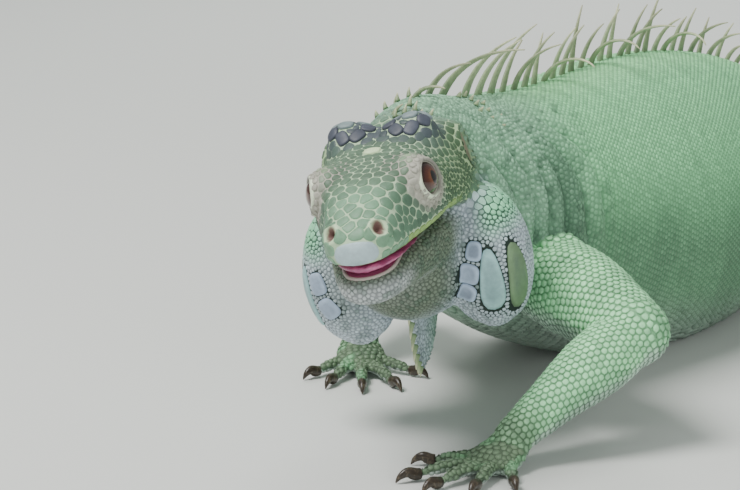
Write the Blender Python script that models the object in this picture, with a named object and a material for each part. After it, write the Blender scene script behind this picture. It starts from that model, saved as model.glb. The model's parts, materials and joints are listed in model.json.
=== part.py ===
"""Green iguana (Iguana iguana), adult male, as a still life-size model lying on its belly.

The animal faces -Y with its left side at +X, and rests on the plane Z = 0. The origin lies on
that plane under the middle of the belly. The flesh is modelled whole from lofts, joined, and
then parted into named pieces with thin cuts. Sizes are in millimetres until a mesh is made.
"""

import math

import bmesh
import bpy
import numpy as np
from mathutils import Vector
from mathutils.bvhtree import BVHTree

MM = 0.001
CUT_GAP = 0.4  # width of the thin cuts that part the flesh
WELD = 0.02  # points nearer than this become one
FLAT = 1.6  # degrees: faces that turn less than this along an edge are joined
CHIP = 100.0  # cubic millimetres: loose crumbs of the cuts below this are dropped

# Head: its own frame has +X to the animal's left, +Y to the snout and +Z up; its origin is
# where the skull meets the neck, level with the closed lips.
SKULL_JOINT = (6.0, -174.0, 91.0)
HEAD_YAW, HEAD_PITCH, HEAD_ROLL = 22.0, -8.0, 11.0  # degrees: turned left, snout up, left side up
# Edges of the open mouth in profile: y, z of the upper lips, z of the lower lips
LIP_STATIONS = ((29.0, -0.8, -1.2), (50.0, -1.0, -1.5), (62.0, -0.9, -1.7), (74.0, -0.3, -3.4), (95.0, 0.9, -5.4))
EYE_CENTRE, EYE_RADIUS = (14.4, 47.0, 16.0), 8.8
EARDRUM_CENTRE, EARDRUM_RADIUS = (25.4, 2.0, 12.5), 6.4

# Stations of the upper head: y, half width, roof z, widest z, floor z
SKULL_STATIONS = (
    (-10, 22.0, 23.0, -3.0, -34.0),
    (2, 26.5, 25.0, 0.0, -30.0),
    (14, 28.5, 25.5, 2.0, -16.0),
    (26, 27.0, 26.0, 3.5, -5.0),
    (36, 25.0, 26.5, 5.0, -1.4),
    (46, 22.6, 26.0, 5.0, -1.4),
    (56, 19.8, 24.5, 5.0, -1.4),
    (66, 17.0, 22.0, 5.0, -1.0),
    (75, 14.4, 18.5, 4.5, 0.0),
    (82, 11.8, 14.5, 4.5, 0.4),
    (86, 8.8, 11.0, 4.5, 0.8),
    (88.5, 4.5, 7.5, 4.5, 2.0),
)
# Stations of the lower jaw: y, half width, lip z, widest z, underside z
JAW_STATIONS = (
    (8, 22.0, -1.0, -8.0, -32.0),
    (22, 23.5, -1.0, -7.0, -28.0),
    (34, 22.5, -1.0, -6.0, -24.5),
    (46, 20.3, -1.0, -5.5, -21.5),
    (58, 17.6, -1.2, -5.5, -19.0),
    (68, 15.0, -2.2, -6.5, -17.5),
    (76, 12.3, -3.4, -7.5, -16.0),
    (82, 9.2, -4.4, -8.5, -14.5),
    (85, 5.0, -5.6, -8.8, -12.5),
)
# Swellings and hollows of the head: centre, radii, push outwards; each is made on both sides
HEAD_RELIEF = (
    ((20.0, 47.0, 16.0), (9.0, 11.0, 10.0), 2.6),  # lids over the eyeball
    ((18.5, 48.0, 28.0), (5.0, 12.0, 4.5), 2.0),  # brow ridge
    ((12.5, 67.0, 21.5), (4.0, 11.0, 4.0), 1.2),  # ridge from brow to nostril
    ((17.5, 65.0, 11.0), (6.0, 8.0, 6.0), -1.8),  # hollow in front of the eye
    ((8.0, 81.5, 13.0), (3.6, 3.8, 3.6), 1.9),  # nostril
    ((12.5, 11.0, 26.0), (9.5, 8.5, 9.0), 6.8),  # bulge on the back of the skull
    ((0.0, 11.0, 28.0), (3.0, 9.0, 6.0), -1.8),  # groove between those bulges
    ((0.0, 52.0, 28.0), (8.0, 13.0, 5.0), -1.5),  # dip between the brows
    ((25.5, 30.0, 22.0), (6.0, 7.0, 7.0), -2.4),  # temple
)
JOWL_CENTRE, JOWL_RADII = (25.5, 7.0, -27.5), (17.5, 21.0, 28.0)
THROAT_CENTRE, THROAT_RADII = (0.0, 12.0, -24.0), (24.0, 30.0, 21.0)
DEWLAP_DEPTH = 30.0

# Body from the neck to the tip of the tail: distance behind the skull joint, then centre x, y, z,
# half width, height above the centre and depth below it
BODY_STATIONS = (
    (-8, 8.0, -181.7, 90.0, 23.0, 28.0, 40.0),
    (15, 4.0, -159.0, 88.0, 27.0, 35.0, 43.0),
    (38, 1.5, -136.0, 83.0, 33.0, 36.5, 43.0),
    (62, 0.5, -112.0, 78.0, 39.0, 39.5, 48.0),
    (105, 0.0, -70.0, 69.0, 46.0, 48.0, 58.0),
    (175, 0.0, 0.0, 61.0, 53.0, 58.0, 68.5),
    (250, 0.0, 75.0, 56.0, 47.0, 54.5, 63.0),
    (310, 0.0, 135.0, 48.0, 34.0, 43.5, 46.0),
    (360, -2.0, 185.0, 38.0, 24.0, 32.0, 37.0),
    (435, -8.0, 259.0, 26.0, 16.5, 22.0, 26.0),
    (535, -20.0, 358.0, 18.5, 12.5, 16.0, 19.0),
    (655, -30.0, 477.0, 13.0, 9.5, 12.0, 13.5),
    (795, -20.0, 616.0, 9.0, 7.0, 8.8, 9.5),
    (955, 22.0, 768.0, 5.8, 4.6, 5.6, 6.2),
    (1100, 92.0, 894.0, 3.0, 2.4, 3.0, 3.4),
    (1150, 124.0, 932.0, 1.6, 1.2, 1.4, 1.9),
)
RIDGE = 0.16  # how much narrower the back is than the belly
NECK_TWIST = 70.0  # length over which the neck takes up the head's roll
BODY_STEP_FRONT, BODY_STEP_TAIL = 14.0, 34.0  # spacing of the rings
SKULL_CUT, SHOULDER_CUT, HIP_CUT = 15.0, 40.0, 330.0  # distances behind the skull joint
TAIL_CUTS = (470.0, 700.0, 930.0)

# Crest of spines: distance behind the skull joint and the height of the spine there
CREST_STATIONS = (
    (-6, 4.0),
    (6, 7.0),
    (14, 14.0),
    (24, 31.0),
    (45, 31.0),
    (80, 25.0),
    (170, 25.0),
    (240, 20.0),
    (300, 12.0),
    (360, 8.0),
    (480, 6.0),
    (640, 2.6),
)
CREST_START, CREST_END = -4.0, 620.0
CREST_CLEAR = 4.6  # least distance of a spine from a cut
SPINE_GAP_NEAR, SPINE_GAP_FAR = 8.4, 16.0  # spacing of the spines on the back and on the tail
SPINE_LEAN = 34.0  # degrees backwards about two thirds of the way up
SPINE_THICK = 2.2
NAPE_DROOP = 62.0  # degrees more that the long spines of the nape fall to either side


def through(stations, at):
    """Returns the values at a place on the smooth curve through rows of (place, values...)."""
    table = np.array(stations, float)
    place, value = table[:, 0], table[:, 1:]
    slope = np.gradient(value, place, axis=0)
    i = int(np.clip(np.searchsorted(place, at) - 1, 0, len(place) - 2))
    span = place[i + 1] - place[i]
    t = (at - place[i]) / span
    start = (1 + 2 * t) * (1 - t) ** 2 * value[i] + t * (1 - t) ** 2 * span * slope[i]
    end = t * t * (3 - 2 * t) * value[i + 1] + t * t * (t - 1) * span * slope[i + 1]
    return start + end


def unit(v):
    """Returns a vector of length 1 along v."""
    v = np.asarray(v, float)
    return v / np.linalg.norm(v)


def head_axes():
    """Returns the head's left, forward and up directions."""
    yaw, pitch, roll = (math.radians(a) for a in (HEAD_YAW, HEAD_PITCH, HEAD_ROLL))
    forward = np.array((math.sin(yaw) * math.cos(pitch), -math.cos(yaw) * math.cos(pitch), math.sin(pitch)))
    level = unit(np.cross((0, 0, 1), forward))
    upright = np.cross(forward, level)
    left = level * math.cos(roll) + upright * math.sin(roll)
    return left, forward, np.cross(forward, left)


HEAD_LEFT, HEAD_FORWARD, HEAD_UP = head_axes()


def from_head(points):
    """Turns points of the head's frame into points of the model's."""
    points = np.asarray(points, float)
    return points @ np.array((HEAD_LEFT, HEAD_FORWARD, HEAD_UP)) + np.array(SKULL_JOINT)


def section(half_width, above, below, squareness, count, ridge=0.0):
    """Returns a ring of (left, up) pairs round (0, 0), from the top round by the left side."""
    angle = np.linspace(0, 2 * math.pi, count, endpoint=False)
    s, c = np.sin(angle), np.cos(angle)
    left = half_width * np.sign(s) * np.abs(s) ** (2 / squareness) * (1 - ridge * c)
    up = np.where(c > 0, above, below) * np.sign(c) * np.abs(c) ** (2 / squareness)
    return np.stack((left, up), axis=1)


def make_object(name, points, faces):
    """Makes a mesh object from points in millimetres."""
    mesh = bpy.data.meshes.new(name)
    mesh.from_pydata([tuple(p) for p in np.asarray(points, float) * MM], [], faces)
    made = bpy.data.objects.new(name, mesh)
    bpy.context.scene.collection.objects.link(made)
    return made


def loft(name, rings):
    """Joins rings of equal count into a closed solid whose ends are fans, with faces outwards."""
    rings = [np.asarray(r, float) for r in rings]
    count = len(rings[0])
    points = np.concatenate([*rings, [rings[0].mean(0)], [rings[-1].mean(0)]])
    first, last = len(points) - 2, len(points) - 1
    faces = []
    for k in range(count):
        n = (k + 1) % count
        faces.append((first, n, k))
        for r in range(len(rings) - 1):
            a = r * count
            faces.append((a + k, a + n, a + count + n, a + count + k))
        a = (len(rings) - 1) * count
        faces.append((last, a + k, a + n))
    made = make_object(name, points, faces)
    shell = bmesh.new()
    shell.from_mesh(made.data)
    bmesh.ops.triangulate(shell, faces=shell.faces)
    bmesh.ops.recalc_face_normals(shell, faces=shell.faces)
    if shell.calc_volume(signed=True) < 0:
        bmesh.ops.reverse_faces(shell, faces=shell.faces)
    shell.to_mesh(made.data)
    shell.free()
    return made


def upright_axes(tangent):
    """Returns the left and up directions across a tangent that points to the tail."""
    left = unit(np.cross(tangent, (0, 0, 1)))
    return left, np.cross(left, tangent)


def body_ring(at, count=16, grow=0.0):
    """Returns the body's outline at a distance behind the skull joint, flat where it rests."""
    x, y, z, half_width, above, below = through(BODY_STATIONS, at)
    ahead = through(BODY_STATIONS, at + 0.5)[:3] - through(BODY_STATIONS, at - 0.5)[:3]
    left, up = upright_axes(unit(ahead))
    twist = math.radians(HEAD_ROLL) * max(0.0, 1 - (at + 8) / NECK_TWIST)
    left, up = left * math.cos(twist) + up * math.sin(twist), up * math.cos(twist) - left * math.sin(twist)
    outline = section(half_width + grow, above + grow, below + grow, 2.15, count, RIDGE)
    ring = np.array((x, y, z)) + outline[:, :1] * left + outline[:, 1:] * up
    ring[:, 2] = np.maximum(ring[:, 2], -grow)
    return ring


def body_places():
    """Returns where the body's rings stand: close in front, and wider along the tail."""
    start, end = BODY_STATIONS[0][0], BODY_STATIONS[-1][0]
    places = [start]
    while places[-1] < end:
        share = np.clip((places[-1] - 250) / 300, 0, 1)
        places.append(places[-1] + BODY_STEP_FRONT + share * (BODY_STEP_TAIL - BODY_STEP_FRONT))
    return np.array(places) * (end - start) / (places[-1] - start) + start * (
        1 - (end - start) / (places[-1] - start)
    )


def relieved(points, relief):
    """Pushes head-frame points out from the head's core by each swelling or hollow."""
    points = np.asarray(points, float).copy()
    core = np.stack((points[:, 0] * 0.0, np.minimum(points[:, 1], 70.0), points[:, 1] * 0 + 8.0), axis=1)
    away = points - core
    away /= np.linalg.norm(away, axis=1, keepdims=True)
    push = np.zeros(len(points))
    for centre, radii, amount in relief:
        for side in (1, -1) if centre[0] else (1,):
            offset = (points - np.array(centre) * (side, 1, 1)) / radii
            push += amount * np.exp(-(offset**2).sum(1))
    return points + away * push[:, None]


def head_loft(name, stations, squareness, count, step, relief=()):
    """Lofts a part of the head from its stations and sets it in the model's frame."""
    rings = []
    low, high = stations[0][0], stations[-1][0]
    for y in np.linspace(low, high, round((high - low) / step) + 1):
        half_width, roof, widest, floor = through(stations, y)
        outline = section(half_width, roof - widest, widest - floor, squareness, count)
        ring = np.stack((outline[:, 0], np.full(count, y), outline[:, 1] + widest), axis=1)
        rings.append(relieved(ring, relief) if relief else ring)
    return loft(name, [from_head(ring) for ring in rings])


def ball_loft(name, centre, radii, count=12, rows=6, grow=0.0, place=from_head):
    """Makes an ellipsoid as a loft along its own Y."""
    rings = []
    for turn in np.linspace(0.12, math.pi - 0.12, rows):
        wide, high = (radii[0] + grow) * math.sin(turn), (radii[2] + grow) * math.sin(turn)
        outline = section(wide, high, high, 2.0, count)
        y = np.full(count, centre[1] + (radii[1] + grow) * math.cos(turn))
        rings.append(place(np.stack((outline[:, 0] + centre[0], y, outline[:, 1] + centre[2]), axis=1)))
    return loft(name, rings)


def tube(name, path, radii, count=12, steps=12, flat=1.0, floor=0.0):
    """Lofts a limb or digit along a smooth path; radii are (share of length, radius) rows.

    flat is the height of a section over its width, and nothing reaches below floor.
    """
    path = np.asarray(path, float)
    length = np.concatenate(([0], np.cumsum(np.linalg.norm(np.diff(path, axis=0), axis=1))))
    keys = np.column_stack((length / length[-1], path))
    rings = []
    across = None
    for share in np.linspace(0, 1, steps + 1):
        centre = through(keys, share)
        tangent = unit(through(keys, min(share + 0.01, 1)) - through(keys, max(share - 0.01, 0)))
        across = unit(np.cross(tangent, (0, 0, 1))) if across is None else across
        across = unit(across - tangent * across.dot(tangent))
        up = np.cross(across, tangent)
        radius = float(through(radii, share)[0])
        outline = section(radius, radius * flat, radius * flat, 2.1, count)
        ring = centre + outline[:, :1] * across + outline[:, 1:] * up
        ring[:, 2] = np.maximum(ring[:, 2], floor)
        rings.append(ring)
    return loft(name, rings)


def solid_mesh(source):
    """Replaces an object's mesh by what its modifiers make of it."""
    graph = bpy.context.evaluated_depsgraph_get()
    made = bpy.data.meshes.new_from_object(source.evaluated_get(graph))
    source.modifiers.clear()
    source.data = made
    return source


def tidied(target):
    """Welds points that nearly meet, drops needless edges and leaves flat triangles only."""
    shell = bmesh.new()
    shell.from_mesh(target.data)
    bmesh.ops.remove_doubles(shell, verts=shell.verts, dist=WELD * MM)
    bmesh.ops.dissolve_degenerate(shell, edges=shell.edges, dist=WELD * MM)
    bmesh.ops.dissolve_limit(shell, angle_limit=math.radians(FLAT), verts=shell.verts, edges=shell.edges)
    bmesh.ops.triangulate(shell, faces=shell.faces)
    shell.to_mesh(target.data)
    shell.free()
    return target


def combine(target, others, operation):
    """Joins the others to the target, or cuts them from it, and removes them."""
    group = bpy.data.collections.new("operands")
    for other in others:
        group.objects.link(other)
    step = target.modifiers.new(operation, "BOOLEAN")
    step.operation = operation
    step.operand_type = "COLLECTION"
    step.collection = group
    step.solver = "EXACT"
    bpy.context.view_layer.update()
    tidied(solid_mesh(target))
    for other in others:
        bpy.data.objects.remove(other)
    bpy.data.collections.remove(group)
    return target


class Leg:
    """One leg: its joints, the thickness along it and the fan of its digits."""

    def __init__(self, name, side, joints, radii, palm, aim, digits, reaches):
        """Keeps the leg's plan. side is 1 on the animal's left and -1 on its right."""
        self.name, self.side = name, side
        self.joints = np.array(joints, float) * (side, 1, 1)
        self.radii, self.palm, self.digits, self.reaches = radii, palm, digits, reaches
        turn = math.radians(aim)
        self.forward = np.array((math.sin(turn) * side, -math.cos(turn), 0.0))

    def limb(self):
        """Makes the upper and lower limb, and the round of the joint between them."""
        root, bend, end = self.joints
        upper, lower = self.radii
        middle, sag = root * 0.5 + bend * 0.5, bend * 0.5 + end * 0.5
        made = [
            tube(self.name + "_upper", (root, middle + (0, 0, 1.5), bend), upper, count=10, steps=5),
            tube(self.name + "_lower", (bend, sag + (0, 0, 1.0), end), lower, count=10, steps=5),
        ]
        for place, radius in ((bend, upper[-1][1] * 1.01), (end, lower[-1][1] * 1.03)):
            made.append(ball_loft(self.name + "_joint", place, (radius,) * 3, count=8, rows=4, place=np.array))
        return made

    def sole(self):
        """Makes the palm or instep, flat underneath."""
        length, width, height = self.palm
        wrist = self.joints[2]
        back, front = wrist - self.forward * 3, wrist + self.forward * length
        path = (back, wrist * (1, 1, 0) + self.forward * length * 0.45 + (0, 0, height * 0.62), front * (1, 1, 0) + (0, 0, 3.0))
        wrist_radius = self.radii[1][-1][1]
        radii = ((0, wrist_radius * 0.98), (0.5, width), (0.85, width * 0.92), (1, width * 0.6))
        return tube(self.name + "_sole", path, radii, count=8, steps=4, flat=0.55)

    def digit_path(self, digit):
        """Returns the axis of a digit from inside the palm to its tip."""
        angle, length, radius = digit
        palm_length, width, _ = self.palm
        turn = math.radians(angle) * self.side
        c, s = math.cos(turn), math.sin(turn)
        aim = np.array((self.forward[0] * c - self.forward[1] * s, self.forward[0] * s + self.forward[1] * c, 0))
        across = np.array((-self.forward[1], self.forward[0], 0.0)) * self.side
        wrist = self.joints[2] * (1, 1, 0)
        share = math.sin(math.radians(angle))
        reach = palm_length * (0.86 - 0.5 * share * share)
        root = wrist + self.forward * reach + across * (width * 0.72 * share)
        heights = ((0.0, radius * 1.2), (0.35, radius * 1.45), (0.62, radius * 1.35), (1.0, radius * 0.92))
        return [root + aim * (length * share) + np.array((0, 0, z)) for share, z in heights]

    def digits_and_claws(self):
        """Makes each digit, and each claw with a gap between the two."""
        flesh, claws = [], []
        for number, digit in enumerate(self.digits, start=1):
            path = self.digit_path(digit)
            radius = digit[2]
            radii = ((0, radius * 1.05), (0.3, radius * 0.92), (0.55, radius), (0.8, radius * 0.84), (1, radius * 0.72))
            flesh.append(tube(f"{self.name}_digit{number}", path, radii, count=5, steps=4))
            tip, aim = path[-1], unit((path[-1] - path[0]) * (1, 1, 0))
            length = 5.0 + digit[1] * 0.12
            start = tip + aim * (CUT_GAP + 1.0)
            claw = (
                start,
                start + aim * length * 0.42 + (0, 0, 1.0),
                start + aim * length * 0.8 + (0, 0, -0.3),
                start + aim * length - (0, 0, start[2] - 0.45),
            )
            base = radius * 0.66
            shape = ((0, base), (0.4, base * 0.78), (0.8, base * 0.4), (1, 0.3))
            claws.append(tube(f"claw_{self.name}_{number}", claw, shape, count=4, steps=3, flat=1.15))
        return flesh, claws

    def joint_cuts(self):
        """Makes the thin slabs that part the limb at its elbow or knee and at its wrist or ankle."""
        root, bend, end = self.joints
        up, down, back = unit(root - bend), unit(end - bend), unit(bend - end)
        folded = back.dot(self.forward) > 0  # the limb lies back over the foot
        sole = unit(back * (1, 1, 0.3)) * -1 if folded else self.forward
        last = np.cross(np.cross(sole, (0, 0, 1)), sole) if folded else back - sole
        places = ((bend, up - down), (end, last))
        return [slab(place, unit(normal), reach) for (place, normal), reach in zip(places, self.reaches)]

    def markers(self):
        """Returns a point inside each piece of the leg, by the piece's name."""
        end, side = self.name.split("_")
        words = {"fore": ("upper_arm", "forearm", "hand"), "hind": ("thigh", "shank", "foot")}
        upper, lower, sole = words[end]
        root, bend, wrist = self.joints
        return {
            f"{upper}_{side}": root * 0.2 + bend * 0.8,
            f"{lower}_{side}": bend * 0.5 + wrist * 0.5,
            f"{sole}_{side}": (wrist + self.forward * self.palm[0] * 0.5) * (1, 1, 0) + (0, 0, 4.0),
        }


def slab(centre, normal, reach):
    """Makes a thin round cutter across a limb."""
    across = unit(np.cross(normal, (0.31, 0.2, 0.93)))
    other = np.cross(normal, across)
    turns = np.linspace(0, 2 * math.pi, 24, endpoint=False)
    ring = np.cos(turns)[:, None] * across + np.sin(turns)[:, None] * other
    half = np.asarray(normal, float) * CUT_GAP / 2
    return loft("cut", [centre + ring * reach - half, centre + ring * reach + half])


def legs():
    """Returns the four legs as they are set on the floor."""
    arm = (((0, 16.0), (0.4, 17.5), (0.8, 14.5), (1, 12.6)), ((0, 11.0), (0.3, 12.2), (0.7, 9.2), (1, 7.2)))
    thigh = (((0, 20.0), (0.4, 20.5), (0.8, 16.5), (1, 14.0)), ((0, 13.0), (0.35, 13.8), (0.75, 9.6), (1, 7.8)))
    fingers = ((52, 15, 2.9), (27, 20, 2.9), (4, 24, 2.9), (-18, 24, 2.9), (-50, 17, 2.8))
    toes = ((48, 15, 3.0), (22, 22, 3.1), (4, 32, 3.1), (-12, 44, 3.1), (-62, 24, 2.9))
    palm, instep = (17, 10.5, 8), (26, 11.0, 9)
    arm_cuts, thigh_cuts = (42, 17), (40, 36)  # how far the cuts at the joints reach
    return [
        Leg("fore_left", 1, ((29, -117, 52), (87, -147, 42), (64, -194, 11)), arm, palm, -14, fingers, arm_cuts),
        Leg("fore_right", -1, ((26, -112, 52), (76, -62, 44), (60, -104, 10)), arm, palm, -38, fingers, arm_cuts),
        Leg("hind_left", 1, ((22, 128, 50), (92, 96, 48), (96, 168, 12)), thigh, instep, 38, toes, thigh_cuts),
        Leg("hind_right", -1, ((22, 128, 50), (90, 112, 48), (98, 186, 12)), thigh, instep, 30, toes, thigh_cuts),
    ]


def ridge_cuts():
    """Returns where the ridge of the back crosses the cuts behind the skull joint."""
    skull = next(
        at for at in np.arange(0, 60, 0.5) if (body_ring(at)[0] - SKULL_JOINT).dot(HEAD_FORWARD) < -SKULL_CUT
    )
    return (float(skull), SHOULDER_CUT, HIP_CUT, *TAIL_CUTS)


def crest_places():
    """Returns where the crest's spines stand, behind the skull joint."""
    places = [CREST_START]
    while places[-1] < CREST_END:
        share = np.clip((places[-1] - 250) / 200, 0, 1)
        place = places[-1] + SPINE_GAP_NEAR + share * (SPINE_GAP_FAR - SPINE_GAP_NEAR)
        for cut in ridge_cuts():
            if abs(place - cut) < CREST_CLEAR:
                place = cut + CREST_CLEAR
        places.append(place)
    return places


def spine(number, at):
    """Makes one spine of the crest: a flat horn that curves back and a little to one side."""
    height = float(through(CREST_STATIONS, at)[0]) * (1 + 0.14 * math.sin(number * 2.4))
    ring = body_ring(at)
    ahead = unit(body_ring(at + 2)[0] - body_ring(at - 2)[0])
    left, up = upright_axes(ahead)
    droop = math.radians(14 * math.sin(number * 1.7) + 14) * min(height / 25, 1)
    nape = math.exp(-(((at - 12) / 32) ** 2))
    droop += math.radians(NAPE_DROOP) * nape * math.copysign(1, math.sin(number * 2.2 + 1))
    root, sides = ring[0] - up * 2.5 + left * 0.2, []
    base = 2.0 + height * 0.04
    lean = math.radians(SPINE_LEAN + 10 * math.sin(number * 3.1) + 22 * nape)
    centre = root.copy()
    steps = 3 if height > 10 else 2
    for k in range(steps + 1):
        share = k / steps
        turn = lean * (0.3 + 1.1 * share)
        grow = ahead * math.sin(turn) + up * math.cos(turn)
        grow = unit(grow * math.cos(droop * share) + left * math.sin(droop * share))
        if k:
            centre = centre + grow * (height + 2.5) / steps
        along = unit(np.cross(grow, np.cross(ahead, grow)))
        across = np.cross(grow, along)
        length, thick = base * (1 - share) ** 0.75 + 0.35, SPINE_THICK / 2 * (1 - share) + 0.35
        back = centre - along * length
        sides.append([centre + along * length, back + across * thick, back - across * thick])
    return loft(f"spine{number}", sides)


def dewlap():
    """Makes the slack flap of skin under the throat."""
    rows = []
    chin, chest = from_head((0, 26, -20)), np.array((3.0, -147.0, 55.0))
    ahead = unit(chest - chin)
    left = unit(np.cross(ahead, (0, 0, 1)))
    for share in np.linspace(0, 1, 8):
        top = chin * (1 - share) + chest * share
        depth = 12 + DEWLAP_DEPTH * math.sin(math.pi * min(share * 1.1 + 0.02, 1)) ** 0.7
        fold = 3.0 * math.sin(3 * math.pi * share)
        row = []
        for side, down in ((1, 0.0), (1, 0.5), (0.6, 0.97), (-0.6, 0.97), (-1, 0.5), (-1, 0.0)):
            half = 3.4 - 1.2 * down
            row.append(top - np.array((0, 0, 1)) * depth * down + left * (side * half + fold * down))
        rows.append(row)
    return loft("dewlap", rows)


def tongue():
    """Makes the tongue, which fills the open mouth from side to side."""
    rings = []
    for y in np.linspace(58, 80.5, 7):
        top, low = through(LIP_STATIONS, y) + (-0.5, 0.3)
        end = math.sqrt(max(1 - ((y - 66) / 15) ** 4, 0.05))
        half_width = (through(JAW_STATIONS, y)[0] - 3.0) * end
        middle, half = (low + top) / 2, max((top - low) / 2 * (0.4 + 0.6 * end), 0.25)
        outline = section(half_width, half, half, 2.3, 12)
        rings.append(from_head(np.stack((outline[:, 0], np.full(12, y), outline[:, 1] + middle), axis=1)))
    return loft("tongue", rings)


def ball(name, centre, radius, grow=0.0):
    """Makes an eyeball at a head-frame centre."""
    return ball_loft(name, centre, (radius, radius, radius), count=12, rows=7, grow=grow)


def eardrum(name, side, grow=0.0):
    """Makes the round drum of the ear, set in the side of the head."""
    centre = np.array(EARDRUM_CENTRE) * (side, 1, 1)
    aim = unit((side * 0.98, -0.08, 0.16))
    across = unit(np.cross(aim, (0, 0, 1)))
    up = np.cross(across, aim)
    turns = np.linspace(0, 2 * math.pi, 16, endpoint=False)
    rings = []
    for depth, share in ((-6.0, 1.0), (0.6, 1.0), (1.2, 0.8)):
        radius = EARDRUM_RADIUS * share + grow
        out = depth + (grow if depth > 0 else -grow)
        ring = np.cos(turns)[:, None] * across * radius * 0.82 + np.sin(turns)[:, None] * up * radius * 1.15
        rings.append(from_head(centre + aim * out + ring))
    return loft(name, rings)


def volume(points, corners):
    """Returns the volume that faces enclose, below 0 where they face inwards."""
    total = 0.0
    for face in corners:
        a = points[face[0]]
        for second, third in zip(face[1:], face[2:]):
            total += np.dot(a, np.cross(points[second], points[third])) / 6
    return total


def split(whole, markers):
    """Parts a mesh into its loose pieces and names each by the marker point inside it."""
    bpy.context.view_layer.update()
    left_over = bmesh.new()
    left_over.from_mesh(whole.data)
    left_over.verts.ensure_lookup_table()
    seen, islands = set(), []
    for seed in left_over.verts:
        if seed.index in seen:
            continue
        stack, members = [seed], []
        seen.add(seed.index)
        while stack:
            vert = stack.pop()
            members.append(vert)
            for edge in vert.link_edges:
                other = edge.other_vert(vert)
                if other.index not in seen:
                    seen.add(other.index)
                    stack.append(other)
        islands.append(members)
    made = []
    for members in islands:
        order = {vert.index: i for i, vert in enumerate(members)}
        faces = {face for vert in members for face in vert.link_faces}
        points = [np.array(vert.co) / MM for vert in members]
        corners = [[order[v.index] for v in face.verts] for face in sorted(faces, key=lambda f: f.index)]
        if volume(points, corners) < CHIP:
            continue  # a chip, or a sealed pocket between the joined shapes, which is filled
        tree = BVHTree.FromPolygons([tuple(p) for p in points], corners)
        found = [name for name, place in markers.items() if encloses(tree, place)]
        if len(found) != 1:
            box = np.round([np.min(points, 0), np.max(points, 0)], 1).tolist()
            raise ValueError(f"a piece of {len(points)} points in {box} holds markers {found}")
        made.append(make_object(found[0], points, corners))
    left_over.free()
    bpy.data.objects.remove(whole)
    missing = set(markers) - {piece.name for piece in made}
    if missing:
        raise ValueError(f"no piece holds the markers {sorted(missing)}")
    return made


def encloses(tree, point):
    """Says whether a point lies inside the closed mesh of a tree."""
    crossings, start = 0, Vector([float(c) for c in point])
    direction = Vector((0.137, 0.071, 0.988)).normalized()
    while True:
        hit = tree.ray_cast(start, direction)
        if hit[0] is None:
            return crossings % 2 == 1
        crossings += 1
        start = hit[0] + direction * 1e-4


def head_shapes():
    """Makes the overlapping shapes that the head's flesh is joined from."""
    shapes = [
        head_loft("skull", SKULL_STATIONS, 2.35, 20, 6.6, relief=HEAD_RELIEF),
        head_loft("jaw", JAW_STATIONS, 2.3, 16, 9),
        ball_loft("throat", THROAT_CENTRE, THROAT_RADII),
    ]
    for side in (1, -1):
        shapes.append(ball_loft("jowl", np.array(JOWL_CENTRE) * (side, 1, 1), JOWL_RADII))
    return shapes


def body_and_head():
    """Makes the head, neck, trunk and tail, and parts them with thin cuts."""
    whole = loft("whole", [body_ring(at) for at in body_places()])
    combine(whole, [*head_shapes(), dewlap()], "UNION")
    combine(whole, body_cuts(), "DIFFERENCE")
    return split(whole, body_markers())


def leg_pieces(leg):
    """Makes a leg's lengths, foot and claws, clear of the body's side."""
    digits, claws = leg.digits_and_claws()
    upper, *others = leg.limb()
    combine(upper, [*others, leg.sole(), *digits], "UNION")
    body = loft("body_room", [body_ring(at, grow=CUT_GAP) for at in body_places()])
    combine(upper, [body, *leg.joint_cuts()], "DIFFERENCE")
    return split(upper, leg.markers()) + claws


def add_crest(pieces):
    """Joins each spine of the crest to the piece that it grows from."""
    ends = ridge_cuts()
    names = ("head", "neck", "trunk", "tail_base", "tail_middle", "tail_end")
    grown = {name: [] for name in names}
    for number, at in enumerate(crest_places()):
        grown[names[sum(at > end for end in ends)]].append(spine(number, at))
    for piece in pieces:
        spines = grown.get(piece.name, [])
        for alternate in (spines[::2], spines[1::2]):  # neighbours may cross, so they join in turn
            if alternate:
                combine(piece, alternate, "UNION")


def mouth_cutter():
    """Makes the cutter of the open mouth, and of the thin cut that ends the lower jaw."""
    back = LIP_STATIONS[0][0]
    upper = [(y, top) for y, top, _ in LIP_STATIONS]
    lower = [(y, bottom) for y, _, bottom in LIP_STATIONS[1:]]
    profile = [*upper[::-1], (back, -60.0), (back + CUT_GAP, -60.0), (back + CUT_GAP, LIP_STATIONS[0][2]), *lower]
    return loft("mouth_cutter", [from_head([(x, y, z) for y, z in profile]) for x in (-40.0, 40.0)])


def body_cuts():
    """Makes every thin cutter and hollow of the head and body."""
    cutters = [slab(from_head((0, -SKULL_CUT, 0)), HEAD_FORWARD, 66), mouth_cutter()]
    for at in (SHOULDER_CUT, HIP_CUT, *TAIL_CUTS):
        ring = body_ring(at, grow=2.5)
        ahead = unit(through(BODY_STATIONS, at + 1)[:3] - through(BODY_STATIONS, at - 1)[:3]) * CUT_GAP / 2
        cutters.append(loft("cut", [ring - ahead, ring + ahead]))
    for side, word in ((1, "left"), (-1, "right")):
        centre = np.array(EYE_CENTRE) * (side, 1, 1)
        cutters.append(ball("socket_" + word, centre, EYE_RADIUS, grow=CUT_GAP))
        cutters.append(eardrum("pit_" + word, side, grow=CUT_GAP))
    return cutters


def body_markers():
    """Returns a point inside each piece of the head and body, by the piece's name."""
    found = {"head": from_head((0, 60, 12)), "lower_jaw": from_head((0, 60, -12))}
    places = {"neck": 25, "trunk": 175, "tail_base": 400, "tail_middle": 600, "tail_end": 800, "tail_tip": 1050}
    for name, at in places.items():
        found[name] = through(BODY_STATIONS, at)[:3]
    return found


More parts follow.
